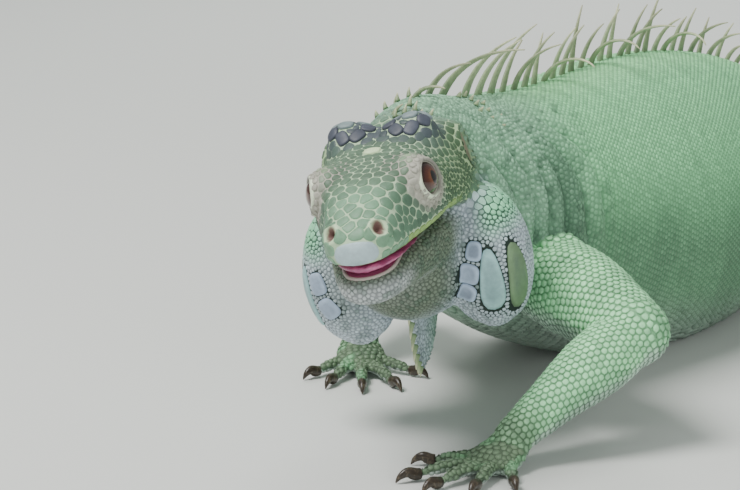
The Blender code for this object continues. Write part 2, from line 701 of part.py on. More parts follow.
MATERIALS = {
    "skin": ((0.50, 0.66, 0.50), 0.6),
    "head_skin": ((0.42, 0.50, 0.44), 0.6),
    "eye": ((0.33, 0.12, 0.05), 0.15),
    "eardrum": ((0.42, 0.45, 0.28), 0.5),
    "mouth": ((0.72, 0.25, 0.33), 0.35),
    "claw": ((0.10, 0.09, 0.08), 0.4),
}


def material(name):
    """Returns the named plain material."""
    found = bpy.data.materials.get(name)
    if found:
        return found
    colour, roughness = MATERIALS[name]
    made = bpy.data.materials.new(name)
    made.use_nodes = True
    surface = made.node_tree.nodes["Principled BSDF"]
    surface.inputs["Base Color"].default_value = (*colour, 1.0)
    surface.inputs["Roughness"].default_value = roughness
    surface.inputs["Metallic"].default_value = 0.0
    return made


def finish_of(name):
    """Returns the material's name for a piece."""
    for start, finish in (("claw", "claw"), ("eye", "eye"), ("eardrum", "eardrum"), ("tongue", "mouth")):
        if name.startswith(start):
            return finish
    return "head_skin" if name in ("head", "lower_jaw") else "skin"


def main():
    """Clears the scene and builds every piece."""
    for old in list(bpy.data.objects):
        bpy.data.objects.remove(old)
    pieces = body_and_head()
    add_crest(pieces)
    pieces.append(tongue())
    for leg in legs():
        pieces += leg_pieces(leg)
    for side, word in ((1, "left"), (-1, "right")):
        pieces.append(ball(f"eye_{word}", np.array(EYE_CENTRE) * (side, 1, 1), EYE_RADIUS))
        pieces.append(eardrum(f"eardrum_{word}", side))
    for piece in pieces:
        piece.data.materials.clear()
        piece.data.materials.append(material(finish_of(piece.name)))


main()
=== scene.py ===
"""Looks of the green iguana model: one seamless skin, its scales, eyes, claws, crest and mouth.

The animal faces -Y with its left side at +X and lies on the floor at Z = 0. Sizes are in
millimetres until a mesh is made. The head has a frame of its own: +X to the animal's left,
+Y to the snout, +Z up, with its origin where the skull meets the neck.
"""

from __future__ import annotations

import json
import logging
import math
from dataclasses import dataclass, field, fields
from enum import Enum

import bmesh
import bpy
import numpy as np
from mathutils import Matrix, Vector
from mathutils.bvhtree import BVHTree
from mathutils.kdtree import KDTree

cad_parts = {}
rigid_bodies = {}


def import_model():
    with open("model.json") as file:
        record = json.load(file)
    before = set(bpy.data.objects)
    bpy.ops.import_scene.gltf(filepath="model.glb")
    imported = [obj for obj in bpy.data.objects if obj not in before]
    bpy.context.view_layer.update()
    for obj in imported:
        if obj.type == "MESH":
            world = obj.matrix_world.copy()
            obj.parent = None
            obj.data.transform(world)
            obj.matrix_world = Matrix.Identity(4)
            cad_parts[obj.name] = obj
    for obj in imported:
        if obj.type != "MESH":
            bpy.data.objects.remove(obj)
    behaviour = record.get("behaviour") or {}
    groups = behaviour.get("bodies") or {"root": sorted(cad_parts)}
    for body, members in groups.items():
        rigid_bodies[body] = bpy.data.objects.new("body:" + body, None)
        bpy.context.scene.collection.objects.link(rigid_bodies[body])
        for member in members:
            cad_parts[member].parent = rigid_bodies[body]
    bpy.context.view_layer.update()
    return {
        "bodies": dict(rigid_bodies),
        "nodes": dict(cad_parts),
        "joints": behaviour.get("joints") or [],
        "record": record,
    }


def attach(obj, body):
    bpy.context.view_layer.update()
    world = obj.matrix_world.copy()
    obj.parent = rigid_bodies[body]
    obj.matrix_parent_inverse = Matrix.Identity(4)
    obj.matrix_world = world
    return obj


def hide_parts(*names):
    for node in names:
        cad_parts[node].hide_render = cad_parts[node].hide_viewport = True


log = logging.getLogger("iguana")
MM = 0.001
Array = np.ndarray
SIDES = (("left", 1.0), ("right", -1.0))


# ---------------------------------------------------------------- numbers and meshes


def unit(v: Array) -> Array:
    """Returns vectors of length 1 along v, which may hold one vector or many."""
    v = np.asarray(v, float)
    return v / np.maximum(np.linalg.norm(v, axis=-1, keepdims=True), 1e-9)


def through(stations: Array, at: Array | float) -> Array:
    """Reads smooth curves through rows of (place, values...).

    Args:
        stations: The rows, in order of place.
        at: One place or an array of places.

    Returns:
        The values at each place.
    """
    table = np.asarray(stations, float)
    place, value = table[:, 0], table[:, 1:]
    slope = np.gradient(value, place, axis=0)
    at = np.asarray(at, float)
    i = np.clip(np.searchsorted(place, at) - 1, 0, len(place) - 2)
    span = (place[i + 1] - place[i])[..., None]
    t = (at[..., None] - place[i][..., None]) / span
    first = (1 + 2 * t) * (1 - t) ** 2 * value[i] + t * (1 - t) ** 2 * span * slope[i]
    return first + t * t * (3 - 2 * t) * value[i + 1] + t * t * (t - 1) * span * slope[i + 1]


def smooth(low: float, high: float, x: Array) -> Array:
    """Returns 0 below low and 1 above high, with a smooth ramp between; low may exceed high."""
    t = np.clip((np.asarray(x, float) - low) / (high - low), 0, 1)
    return t * t * (3 - 2 * t)


def bell(x: Array, width: float | Array) -> Array:
    """Returns a weight of 1 where x is 0, fading over the width on both sides."""
    return np.exp(-((x / width) ** 2))


def circle(count: int) -> Array:
    """Returns evenly spaced turns round a full circle, in radians."""
    return np.linspace(0, 2 * math.pi, count, endpoint=False)


def along_path(path: Array) -> Array:
    """Returns the length of a path up to each of its points."""
    return np.concatenate(([0], np.cumsum(np.linalg.norm(np.diff(path, axis=0), axis=1))))


def bump(points: Array, centre: tuple, radii: tuple | float) -> Array:
    """Returns a soft round weight, 1 at the centre and fading over the radii."""
    return np.exp(-(((points - np.array(centre)) / radii) ** 2).sum(-1))


def wave_noise(points: Array, size: float, seed: int) -> Array:
    """Makes smooth noise from bent waves.

    Args:
        points: Where it is wanted.
        size: About how wide its blotches are.
        seed: What the waves are drawn from.

    Returns:
        Values between about -1 and 1.
    """
    rng = np.random.default_rng(seed)
    total = np.zeros(len(points))
    for _ in range(7):
        wave = unit(rng.normal(size=3)) * 2 * math.pi / (size * rng.uniform(1.3, 2.6))
        start, bend = rng.uniform(0, 6.28), 1.7 * np.sin(points @ wave[::-1] * 0.7)
        total += np.sin(points @ wave + start + bend)
    return total / 3.2


def section(
    half: float, above: float, below: float, squareness: float, count: int, ridge: float = 0.0
) -> Array:
    """Draws a rounded outline round (0, 0).

    Args:
        half: Half its width.
        above: Its height over the middle.
        below: Its depth under the middle.
        squareness: 2 for an ellipse and more for fuller corners.
        count: How many points it has.
        ridge: How much its top is narrowed, as a share.

    Returns:
        Rows of (left, up), from the top round by the left side.
    """
    angle = circle(count)
    s, c = np.sin(angle), np.cos(angle)
    left = half * np.sign(s) * np.abs(s) ** (2 / squareness) * (1 - ridge * c)
    up = np.where(c > 0, above, below) * np.sign(c) * np.abs(c) ** (2 / squareness)
    return np.stack((left, up), axis=1)


def linked(obj: bpy.types.Object) -> bpy.types.Object:
    """Puts an object into the scene, and returns it."""
    bpy.context.scene.collection.objects.link(obj)
    return obj


@dataclass
class Shape:
    """Points in millimetres and faces of one or more loose surfaces."""

    points: Array = field(default_factory=lambda: np.zeros((0, 3)))
    faces: list = field(default_factory=list)

    def add(self, other: Shape) -> None:
        """Joins another shape's surfaces to this one."""
        shift = len(self.points)
        self.points = np.concatenate((self.points, other.points))
        self.faces += [tuple(i + shift for i in face) for face in other.faces]

    def made(self, name: str) -> bpy.types.Object:
        """Makes a smooth-shaded mesh object.

        Args:
            name: Its name.

        Returns:
            The object.
        """
        mesh = bpy.data.meshes.new(name)
        mesh.from_pydata((self.points * MM).tolist(), [], self.faces)
        mesh.shade_smooth()
        return linked(bpy.data.objects.new(name, mesh))


def loft(rings: list[Array]) -> Shape:
    """Joins rings of equal count into a closed shape whose ends are fans.

    Args:
        rings: The rings, each an array of points.

    Returns:
        The shape, with its faces outwards.
    """
    count, rows = len(rings[0]), len(rings)
    points = np.concatenate([*rings, [rings[0].mean(0)], [rings[-1].mean(0)]])
    first, last = rows * count, rows * count + 1
    k = np.arange(count)
    n = (k + 1) % count
    a = (np.arange(rows - 1) * count)[:, None]
    quads = np.stack((a + k, a + n, a + count + n, a + count + k), axis=-1).reshape(-1, 4)
    faces = quads.tolist() + [(first, int(j), int(i)) for i, j in zip(k, n)]
    end = (rows - 1) * count
    faces += [(last, end + int(i), end + int(j)) for i, j in zip(k, n)]
    corner = points[quads[:, :3]]
    volume = np.einsum("ij,ij->i", corner[:, 0], np.cross(corner[:, 1], corner[:, 2])).sum()
    if volume < 0:
        faces = [tuple(face)[::-1] for face in faces]
    return Shape(points, [tuple(face) for face in faces])


def coordinates(mesh: bpy.types.Mesh) -> Array:
    """Reads the points of a mesh.

    Args:
        mesh: The mesh.

    Returns:
        Places in millimetres.
    """
    flat = np.empty(len(mesh.vertices) * 3, np.float32)
    mesh.vertices.foreach_get("co", flat)
    return flat.reshape(-1, 3).astype(float) / MM


def set_coordinates(mesh: bpy.types.Mesh, points: Array) -> None:
    """Moves a mesh's points to places given in millimetres."""
    mesh.vertices.foreach_set("co", (points * MM).astype(np.float32).ravel())
    mesh.update()


def normals(mesh: bpy.types.Mesh) -> Array:
    """Reads the outward directions of a mesh.

    Args:
        mesh: The mesh.

    Returns:
        One direction for each point.
    """
    flat = np.empty(len(mesh.vertices) * 3, np.float32)
    mesh.vertex_normals.foreach_get("vector", flat)
    return flat.reshape(-1, 3).astype(float)


def applied(obj: bpy.types.Object) -> bpy.types.Object:
    """Replaces a mesh by what its modifiers make of it.

    Args:
        obj: The object.

    Returns:
        The same object.
    """
    graph = bpy.context.evaluated_depsgraph_get()
    mesh = bpy.data.meshes.new_from_object(obj.evaluated_get(graph))
    obj.modifiers.clear()
    old, obj.data = obj.data, mesh
    bpy.data.meshes.remove(old)
    return obj


def remeshed(obj: bpy.types.Object, voxel: float) -> bpy.types.Object:
    """Makes one closed surface of evenly spaced quads from overlapping shapes.

    Args:
        obj: The object.
        voxel: The spacing, in millimetres.

    Returns:
        The same object.
    """
    step = obj.modifiers.new("remesh", "REMESH")
    step.mode, step.voxel_size, step.adaptivity = "VOXEL", voxel * MM, 0.0
    step.use_smooth_shade = True
    return applied(obj)


def smoothed(obj: bpy.types.Object, times: int, weights: Array | None = None) -> bpy.types.Object:
    """Evens out a surface, everywhere or by weights.

    Args:
        obj: The object.
        times: How often.
        weights: For each point, from 0 to 1.

    Returns:
        The same object.
    """
    step = obj.modifiers.new("smooth", "SMOOTH")
    step.iterations, step.factor = times, 0.5
    if weights is not None:
        group = obj.vertex_groups.new(name="smooth")
        levels = np.round(np.clip(weights, 0, 1) * 10).astype(int)
        for level in range(1, 11):
            chosen = np.nonzero(levels == level)[0]
            if len(chosen):
                group.add(chosen.tolist(), level / 10, "REPLACE")
        step.vertex_group = group.name
    applied(obj)
    obj.vertex_groups.clear()
    return obj


def paint(mesh: bpy.types.Mesh, colours: Array) -> None:
    """Stores a linear colour for each point, which the finishes read as pigment; on the skin and scales it
    also holds painted shade and painted bounce light.

    Args:
        mesh: The mesh.
        colours: One colour for each point.
    """
    layer = mesh.color_attributes.new("pigment", "FLOAT_COLOR", "POINT")
    rgba = np.ones((len(colours), 4), np.float32)
    rgba[:, :3] = colours
    layer.data.foreach_set("color", rgba.ravel())


def set_bake_map(mesh: bpy.types.Mesh, per_point: Array) -> None:
    """Gives a mesh the OFBake map.

    Args:
        mesh: The mesh.
        per_point: One (u, v) for each point.
    """
    layer = mesh.uv_layers.new(name="OFBake")
    corner = np.empty(len(mesh.loops), np.int32)
    mesh.loops.foreach_get("vertex_index", corner)
    layer.data.foreach_set("uv", per_point[corner].astype(np.float32).ravel())


# ---------------------------------------------------------------- the animal's plan

SKULL_JOINT = np.array((6.0, -174.0, 91.0))
HEAD_YAW, HEAD_PITCH, HEAD_ROLL = 22.0, -8.0, 11.0
LIP_STATIONS = (
    (29.0, -0.8, -1.2),
    (50.0, -1.0, -1.5),
    (62.0, -0.9, -1.7),
    (74.0, -0.3, -3.4),
    (95.0, 0.9, -5.4),
)
EYE_CENTRE, EYE_RADIUS = (14.4, 47.0, 16.0), 8.8
EARDRUM_CENTRE, EARDRUM_RADIUS, EARDRUM_AIM = (25.4, 2.0, 12.5), 6.4, (0.98, -0.08, 0.16)
NOSTRIL = (8.2, 82.2, 11.9)
SKULL_STATIONS = (
    (-10, 22.0, 23.0, -3.0, -34.0),
    (2, 26.5, 25.0, 0.0, -30.0),
    (14, 28.5, 25.5, 2.0, -16.0),
    (26, 27.0, 26.0, 3.5, -5.0),
    (36, 25.0, 26.5, 5.0, -1.4),
    (46, 22.6, 26.0, 5.0, -1.4),
    (56, 19.8, 24.5, 5.0, -1.4),
    (66, 17.0, 22.0, 5.0, -1.0),
    (75, 14.4, 18.5, 4.5, 0.0),
    (82, 11.8, 14.5, 4.5, 0.4),
    (86, 8.8, 11.0, 4.5, 0.8),
    (88.5, 4.5, 7.5, 4.5, 2.0),
)
JAW_STATIONS = (
    (8, 22.0, -1.0, -8.0, -32.0),
    (22, 23.5, -1.0, -7.0, -28.0),
    (34, 22.5, -1.0, -6.0, -24.5),
    (46, 20.3, -1.0, -5.5, -21.5),
    (58, 17.6, -1.2, -5.5, -19.0),
    (68, 15.0, -2.2, -6.5, -17.5),
    (76, 12.3, -3.4, -7.5, -16.0),
    (82, 9.2, -4.4, -8.5, -14.5),
    (85, 5.0, -5.6, -8.8, -12.5),
)
HEAD_RELIEF = (
    ((20.0, 47.0, 16.0), (9.0, 11.0, 10.0), 2.6),  # lids over the eyeball
    ((18.5, 48.0, 28.0), (5.0, 12.0, 4.5), 2.0),  # brow ridge
    ((12.5, 67.0, 21.5), (4.0, 11.0, 4.0), 1.2),  # ridge from brow to nostril
    ((17.5, 65.0, 11.0), (6.0, 8.0, 6.0), -1.8),  # hollow in front of the eye
    ((8.0, 81.5, 13.0), (3.6, 3.8, 3.6), 1.9),  # nostril
    ((11.0, 17.0, 27.0), (8.6, 8.8, 9.0), 10.3),  # bulge on the back of the skull
    ((0.0, 11.0, 28.0), (3.0, 9.0, 6.0), -1.8),  # groove between those bulges
    ((0.0, 52.0, 28.0), (8.0, 13.0, 5.0), -1.5),  # dip between the brows
    ((25.5, 30.0, 22.0), (6.0, 7.0, 7.0), -2.4),  # temple
)
JOWL_CENTRE, JOWL_RADII = (25.5, 7.0, -27.5), (17.5, 21.0, 28.0)
THROAT_CENTRE, THROAT_RADII = (0.0, 12.0, -24.0), (24.0, 30.0, 21.0)
DEWLAP_DEPTH = 30.0
BODY_STATIONS = (
    (-8, 8.0, -181.7, 90.0, 23.0, 28.0, 40.0),
    (15, 4.0, -159.0, 88.0, 27.0, 35.0, 43.0),
    (38, 1.5, -136.0, 83.0, 33.0, 36.5, 43.0),
    (62, 0.5, -112.0, 78.0, 39.0, 39.5, 48.0),
    (105, 0.0, -70.0, 69.0, 46.0, 48.0, 58.0),
    (175, 0.0, 0.0, 61.0, 53.0, 58.0, 68.5),
    (250, 0.0, 75.0, 56.0, 47.0, 54.5, 63.0),
    (310, 0.0, 135.0, 48.0, 34.0, 43.5, 46.0),
    (360, -2.0, 185.0, 38.0, 24.0, 32.0, 37.0),
    (435, -8.0, 259.0, 26.0, 16.5, 22.0, 26.0),
    (535, -20.0, 358.0, 18.5, 12.5, 16.0, 19.0),
    (655, -30.0, 477.0, 13.0, 9.5, 12.0, 13.5),
    (795, -20.0, 616.0, 9.0, 7.0, 8.8, 9.5),
    (955, 22.0, 768.0, 5.8, 4.6, 5.6, 6.2),
    (1100, 92.0, 894.0, 3.0, 2.4, 3.0, 3.4),
    (1150, 124.0, 932.0, 1.6, 1.2, 1.4, 1.9),
)
RIDGE, NECK_TWIST = 0.16, 70.0
SKULL_CUT, CREST_CLEAR, CUT_GAP = 15.0, 4.6, 0.4
CUTS = (40.0, 330.0, 470.0, 700.0, 930.0)
CREST_STATIONS = (
    (-6, 4.0),
    (6, 7.0),
    (14, 14.0),
    (24, 31.0),
    (45, 31.0),
    (80, 25.0),
    (170, 25.0),
    (240, 20.0),
    (300, 12.0),
    (360, 8.0),
    (480, 6.0),
    (640, 2.6),
)
CREST_START, CREST_END = -4.0, 620.0
SPINE_GAP_NEAR, SPINE_GAP_FAR, SPINE_LEAN, NAPE_DROOP = 8.4, 16.0, 34.0, 62.0


def head_axes() -> tuple[Array, Array, Array]:
    """Returns the head's left, forward and up directions."""
    yaw, pitch, roll = (math.radians(a) for a in (HEAD_YAW, HEAD_PITCH, HEAD_ROLL))
    forward = np.array((math.sin(yaw) * math.cos(pitch), -math.cos(yaw) * math.cos(pitch), math.sin(pitch)))
    level = unit(np.cross((0, 0, 1), forward))
    left = level * math.cos(roll) + np.cross(forward, level) * math.sin(roll)
    return left, forward, np.cross(forward, left)


HEAD = np.array(head_axes())


def from_head(points: Array) -> Array:
    """Turns points of the head's frame into points of the model's."""
    return np.asarray(points, float) @ HEAD + SKULL_JOINT


def to_head(points: Array) -> Array:
    """Turns points of the model's frame into points of the head's."""
    return (np.asarray(points, float) - SKULL_JOINT) @ HEAD.T


def mirrored(place: tuple, side: float) -> Array:
    """Returns a place or direction of the head's left, on the side asked for."""
    return np.array(place) * (side, 1, 1)


def folded(local: Array) -> Array:
    """Returns points of the head's frame with those of the right laid over on the left."""
    return np.column_stack((np.abs(local[:, 0]), local[:, 1:]))


def from_pair(local: Array, place: tuple, stretch: tuple | float = 1.0) -> Array:
    """Returns how far points are from the nearer of a place on the left and its twin on the right."""
    return np.linalg.norm((folded(local) - place) * stretch, axis=1)


def lips(y: Array) -> Array:
    """Returns the heights of the upper and lower lip at places along the head."""
    return through(LIP_STATIONS, np.clip(y, LIP_STATIONS[0][0], LIP_STATIONS[-1][0]))


@dataclass
class BodyAxis:
    """The line from the neck to the tail's tip, and the body's outline round it."""

    step: float = 2.5
    places: Array = field(init=False)
    centres: Array = field(init=False)

    def __post_init__(self) -> None:
        """Reads the axis once, for looking up the place of any point."""
        self.places = np.arange(BODY_STATIONS[0][0], BODY_STATIONS[-1][0] + self.step, self.step)
        self.centres = through(BODY_STATIONS, self.places)[:, :3]

    def frames(self, at: Array) -> tuple[Array, Array, Array, Array]:
        """Works out how the body lies.

        Args:
            at: Places behind the skull joint.

        Returns:
            The centre and the left, up and tailward directions at each.
        """
        at = np.asarray(at, float)
        centre = through(BODY_STATIONS, at)[..., :3]
        tail = unit(through(BODY_STATIONS, at + 0.5)[..., :3] - through(BODY_STATIONS, at - 0.5)[..., :3])
        left = unit(np.cross(tail, (0, 0, 1)))
        up = np.cross(left, tail)
        twist = (math.radians(HEAD_ROLL) * np.clip(1 - (at + 8) / NECK_TWIST, 0, None))[..., None]
        c, s = np.cos(twist), np.sin(twist)
        return centre, left * c + up * s, up * c - left * s, tail

    def ring(self, at: float, count: int = 72, grow: float = 0.0) -> Array:
        """Draws the body's outline, flat where it rests.

        Args:
            at: The place behind the skull joint.
            count: Points round it.
            grow: How much wider it is made.

        Returns:
            The points, from the back round by the left side.
        """
        centre, left, up, _ = self.frames(at)
        half, above, below = through(BODY_STATIONS, at)[3:]
        outline = section(half + grow, above + grow, below + grow, 2.15, count, RIDGE)
        ring = centre + outline[:, :1] * left + outline[:, 1:] * up
        ring[:, 2] = np.maximum(ring[:, 2], -grow)
        return ring

    def lookup(self, points: Array) -> tuple[Array, Array, Array]:
        """Finds where points lie on the body.

        Args:
            points: Places in the model's frame.

        Returns:
            The place along the axis, the angle round it (0 on the back, positive to the left)
            and the distance over the body's own radius there.
        """
        guess = np.clip(np.searchsorted(self.centres[:, 1], points[:, 1]), 0, len(self.places) - 1)
        window = np.arange(-16, 17)
        index = np.clip(guess[:, None] + window, 0, len(self.places) - 1)
        gap = np.linalg.norm(self.centres[index] - points[:, None], axis=2)
        best = index[np.arange(len(points)), gap.argmin(1)]
        centre, left, up, tail = self.frames(self.places[best])
        offset = points - centre
        at = self.places[best] + np.einsum("ij,ij->i", offset, tail)
        x, z = np.einsum("ij,ij->i", offset, left), np.einsum("ij,ij->i", offset, up)
        half, above, below = through(BODY_STATIONS, np.clip(at, -8, 1150))[:, 3:].T
        share = np.hypot(x / half, z / np.where(z > 0, above, below))
        return at, np.arctan2(x, z), share


def swept(
    path: Array, radii: tuple, count: int = 24, steps: int = 16, flat: float = 1.0, grow: float = 0.0
) -> Shape:
    """Lofts a limb or digit along a smooth path.

    Args:
        path: Points of the axis.
        radii: Rows of (share of the length, radius).
        count: Points round a ring.
        steps: Lengths between rings.
        flat: Height of a section over its width.
        grow: How much wider than the radii it is made.

    Returns:
        The closed shape, nowhere below the floor.
    """
    path = np.asarray(path, float)
    length = along_path(path)
    keys = np.column_stack((length / length[-1], path))
    rings, across = [], None
    for share in np.linspace(0, 1, steps + 1):
        centre = through(keys, share)
        tangent = unit(through(keys, min(share + 0.01, 1)) - through(keys, max(share - 0.01, 0)))
        across = unit(np.cross(tangent, (0, 0, 1))) if across is None else across
        across = unit(across - tangent * across.dot(tangent))
        radius = float(through(radii, share)[0]) + grow
        outline = section(radius, radius * flat, radius * flat, 2.1, count)
        ring = centre + outline[:, :1] * across + outline[:, 1:] * np.cross(across, tangent)
        ring[:, 2] = np.maximum(ring[:, 2], -grow)
        rings.append(ring)
    return loft(rings)


def ellipsoid(centre: Array, radii: tuple, count: int = 40, rows: int = 26, head: bool = True) -> Shape:
    """Makes an ellipsoid.

    Args:
        centre: Its centre.
        radii: Its three radii.
        count: Points round a ring.
        rows: How many rings it has.
        head: Whether it is given in the head's frame.

    Returns:
        The closed shape.
    """
    rings = []
    for turn in np.linspace(0.05, math.pi - 0.05, rows):
        wide, high = radii[0] * math.sin(turn), radii[2] * math.sin(turn)
        outline = section(wide, high, high, 2.0, count)
        y = np.full(count, centre[1] + radii[1] * math.cos(turn))
        ring = np.stack((outline[:, 0] + centre[0], y, outline[:, 1] + centre[2]), axis=1)
        rings.append(from_head(ring) if head else ring)
    return loft(rings)


class Part(Enum):
    """The regions of the skin, by which scales and colours are chosen."""

    HEAD = 0
    BODY = 1
    UPPER_LIMB = 2
    LOWER_LIMB = 3
    SOLE = 4
    DIGIT = 5


@dataclass
class Bone:
    """A stretch of a limb: its axis, its thickness and which region it is."""

    part: Part
    path: Array
    radii: Array
    leg: int

    def measure(self, points: Array) -> tuple[Array, Array, Array]:
        """Measures how near points are to the stretch.

        Args:
            points: Places in the model's frame.

        Returns:
            Each point's distance to the surface, its share of the length and the axis' direction there.
        """
        best = np.full(len(points), 1e9)
        share, aim = np.zeros(len(points)), np.zeros((len(points), 3))
        count = len(self.path) - 1
        for i in range(count):
            a, b = self.path[i], self.path[i + 1]
            t = np.clip((points - a) @ (b - a) / ((b - a) @ (b - a)), 0, 1)
            gap = np.linalg.norm(points - (a + t[:, None] * (b - a)), axis=1)
            gap = gap - (self.radii[i] * (1 - t) + self.radii[i + 1] * t)
            nearer = gap < best
            best[nearer], share[nearer] = gap[nearer], (i + t[nearer]) / count
            aim[nearer] = unit(b - a)
        return best, share, aim


KNUCKLES = ((0, 1.05), (0.2, 0.9), (0.36, 1.03), (0.55, 0.86), (0.68, 0.96), (0.86, 0.74), (1, 0.72))


@dataclass
class Leg:
    """One leg: its joints, the thickness along it and the fan of its digits."""

    name: str
    side: float
    joints: tuple
    radii: tuple
    palm: tuple
    aim: float
    digits: tuple

    def __post_init__(self) -> None:
        """Works out where the leg stands on its own side."""
        self.at = np.array(self.joints, float) * (self.side, 1, 1)
        turn = math.radians(self.aim)
        self.forward = np.array((math.sin(turn) * self.side, -math.cos(turn), 0.0))

    def limb_paths(self) -> list[Array]:
        """Returns the axes of the upper and lower limb."""
        root, bend, end = self.at
        return [
            np.array((root, root * 0.5 + bend * 0.5 + (0, 0, 1.5), bend)),
            np.array((bend, bend * 0.5 + end * 0.5 + (0, 0, 1.0), end)),
        ]

    def sole_path(self) -> Array:
        """Returns the axis of the palm or instep."""
        length, _, height = self.palm
        wrist, flat = self.at[2], self.at[2] * (1, 1, 0)
        middle = flat + self.forward * length * 0.45 + (0, 0, height * 0.62)
        return np.array((wrist - self.forward * 3, middle, flat + self.forward * length + (0, 0, 3.0)))

    def digit_path(self, digit: tuple) -> Array:
        """Lays out the axis of a digit, from inside the palm to its tip.

        Args:
            digit: Its (angle in the fan, length, radius).

        Returns:
            Four points.
        """
        angle, length, radius = digit
        palm_length, width, _ = self.palm
        turn = math.radians(angle) * self.side
        c, s = math.cos(turn), math.sin(turn)
        x, y, _ = self.forward
        aim = np.array((x * c - y * s, x * s + y * c, 0))
        across = np.array((-y, x, 0.0)) * self.side
        share = math.sin(math.radians(angle))
        reach = palm_length * (0.86 - 0.5 * share * share)
        root = self.at[2] * (1, 1, 0) + self.forward * reach + across * (width * 0.72 * share)
        heights = ((0.0, radius * 1.2), (0.35, radius * 1.45), (0.62, radius * 1.35), (1.0, radius * 0.92))
        return np.array([root + aim * (length * k) + np.array((0, 0, z)) for k, z in heights])

    def flesh(self, grow: float) -> Shape:
        """Makes the leg's overlapping shapes, with knuckles along the digits.

        Args:
            grow: How much wider than the plan they are made.

        Returns:
            The shapes together.
        """
        upper, lower = self.radii
        whole = Shape()
        for path, radii in zip(self.limb_paths(), (upper, lower)):
            whole.add(swept(path, radii, 32, 24, grow=grow))
        for place, radius in ((self.at[1], upper[-1][1] * 1.01), (self.at[2], lower[-1][1] * 1.03)):
            whole.add(ellipsoid(place, (radius + grow,) * 3, head=False))
        wrist_radius, width = lower[-1][1], self.palm[1]
        sole = ((0, wrist_radius * 0.98), (0.5, width), (0.85, width * 0.92), (1, width * 0.6))
        whole.add(swept(self.sole_path(), sole, 28, 16, flat=0.55, grow=grow))
        for digit in self.digits:
            radii = [(share, digit[2] * size) for share, size in KNUCKLES]
            whole.add(swept(self.digit_path(digit), radii, 16, 18, grow=grow * 0.6))
        return whole

    def claws(self) -> Shape:
        """Makes the leg's curved claws, a little flattened from side to side.

        Returns:
            The claws together.
        """
        whole = Shape()
        for digit in self.digits:
            path, radius = self.digit_path(digit), digit[2]
            tip, aim = path[-1], unit((path[-1] - path[0]) * (1, 1, 0))
            length = 5.0 + digit[1] * 0.12
            start = tip + aim * (CUT_GAP + 1.0)
            claw = (
                start - aim * 1.6,
                start,
                start + aim * length * 0.42 + (0, 0, 1.0),
                start + aim * length * 0.8 + (0, 0, -0.3),
                start + aim * length - (0, 0, start[2] - 0.45),
            )
            base = radius * 0.66
            shape = ((0, base * 0.9), (0.2, base), (0.5, base * 0.78), (0.83, base * 0.4), (1, 0.18))
            whole.add(swept(np.array(claw), shape, 14, 16, flat=1.15))
        return whole

    def bones(self, number: int) -> list[Bone]:
        """Lists the stretches by which regions are told apart.

        Args:
            number: The leg's number.

        Returns:
            The limb, the sole and the digits.
        """
        found = []
        for path, radii, part in zip(self.limb_paths(), self.radii, (Part.UPPER_LIMB, Part.LOWER_LIMB)):
            shares = np.linspace(0, 1, 5)
            keys = np.column_stack(((0, 0.5, 1), path))
            found.append(Bone(part, through(keys, shares), through(radii, shares)[:, 0], number))
        found.append(Bone(Part.SOLE, self.sole_path(), np.full(3, self.palm[1] * 0.55), number))
        found += [Bone(Part.DIGIT, self.digit_path(d), np.full(4, d[2] * 0.95), number) for d in self.digits]
        return found


def all_legs() -> list[Leg]:
    """Sets the four legs on the floor.

    Returns:
        Fore left, fore right, hind left and hind right.
    """
    arm = (((0, 16.0), (0.4, 17.5), (0.8, 14.5), (1, 12.6)), ((0, 11.0), (0.3, 12.2), (0.7, 9.2), (1, 7.2)))
    thigh = ((0, 20.0), (0.4, 20.5), (0.8, 16.5), (1, 14.0)), ((0, 13.0), (0.35, 13.8), (0.75, 9.6), (1, 7.8))
    fingers = ((52, 15, 2.9), (27, 20, 2.9), (4, 24, 2.9), (-18, 24, 2.9), (-50, 17, 2.8))
    toes = ((48, 15, 3.0), (22, 22, 3.1), (4, 32, 3.1), (-12, 44, 3.1), (-62, 24, 2.9))
    palm, instep = (17, 10.5, 8), (26, 11.0, 9)
    return [
        Leg("fore_left", 1, ((29, -117, 52), (87, -147, 42), (64, -194, 11)), arm, palm, -14, fingers),
        Leg("fore_right", -1, ((26, -112, 52), (76, -62, 44), (60, -104, 10)), arm, palm, -38, fingers),
        Leg("hind_left", 1, ((22, 128, 50), (92, 96, 48), (96, 168, 12)), thigh, instep, 38, toes),
        Leg("hind_right", -1, ((22, 128, 50), (90, 112, 48), (98, 186, 12)), thigh, instep, 30, toes),
    ]


# ---------------------------------------------------------------- the skin


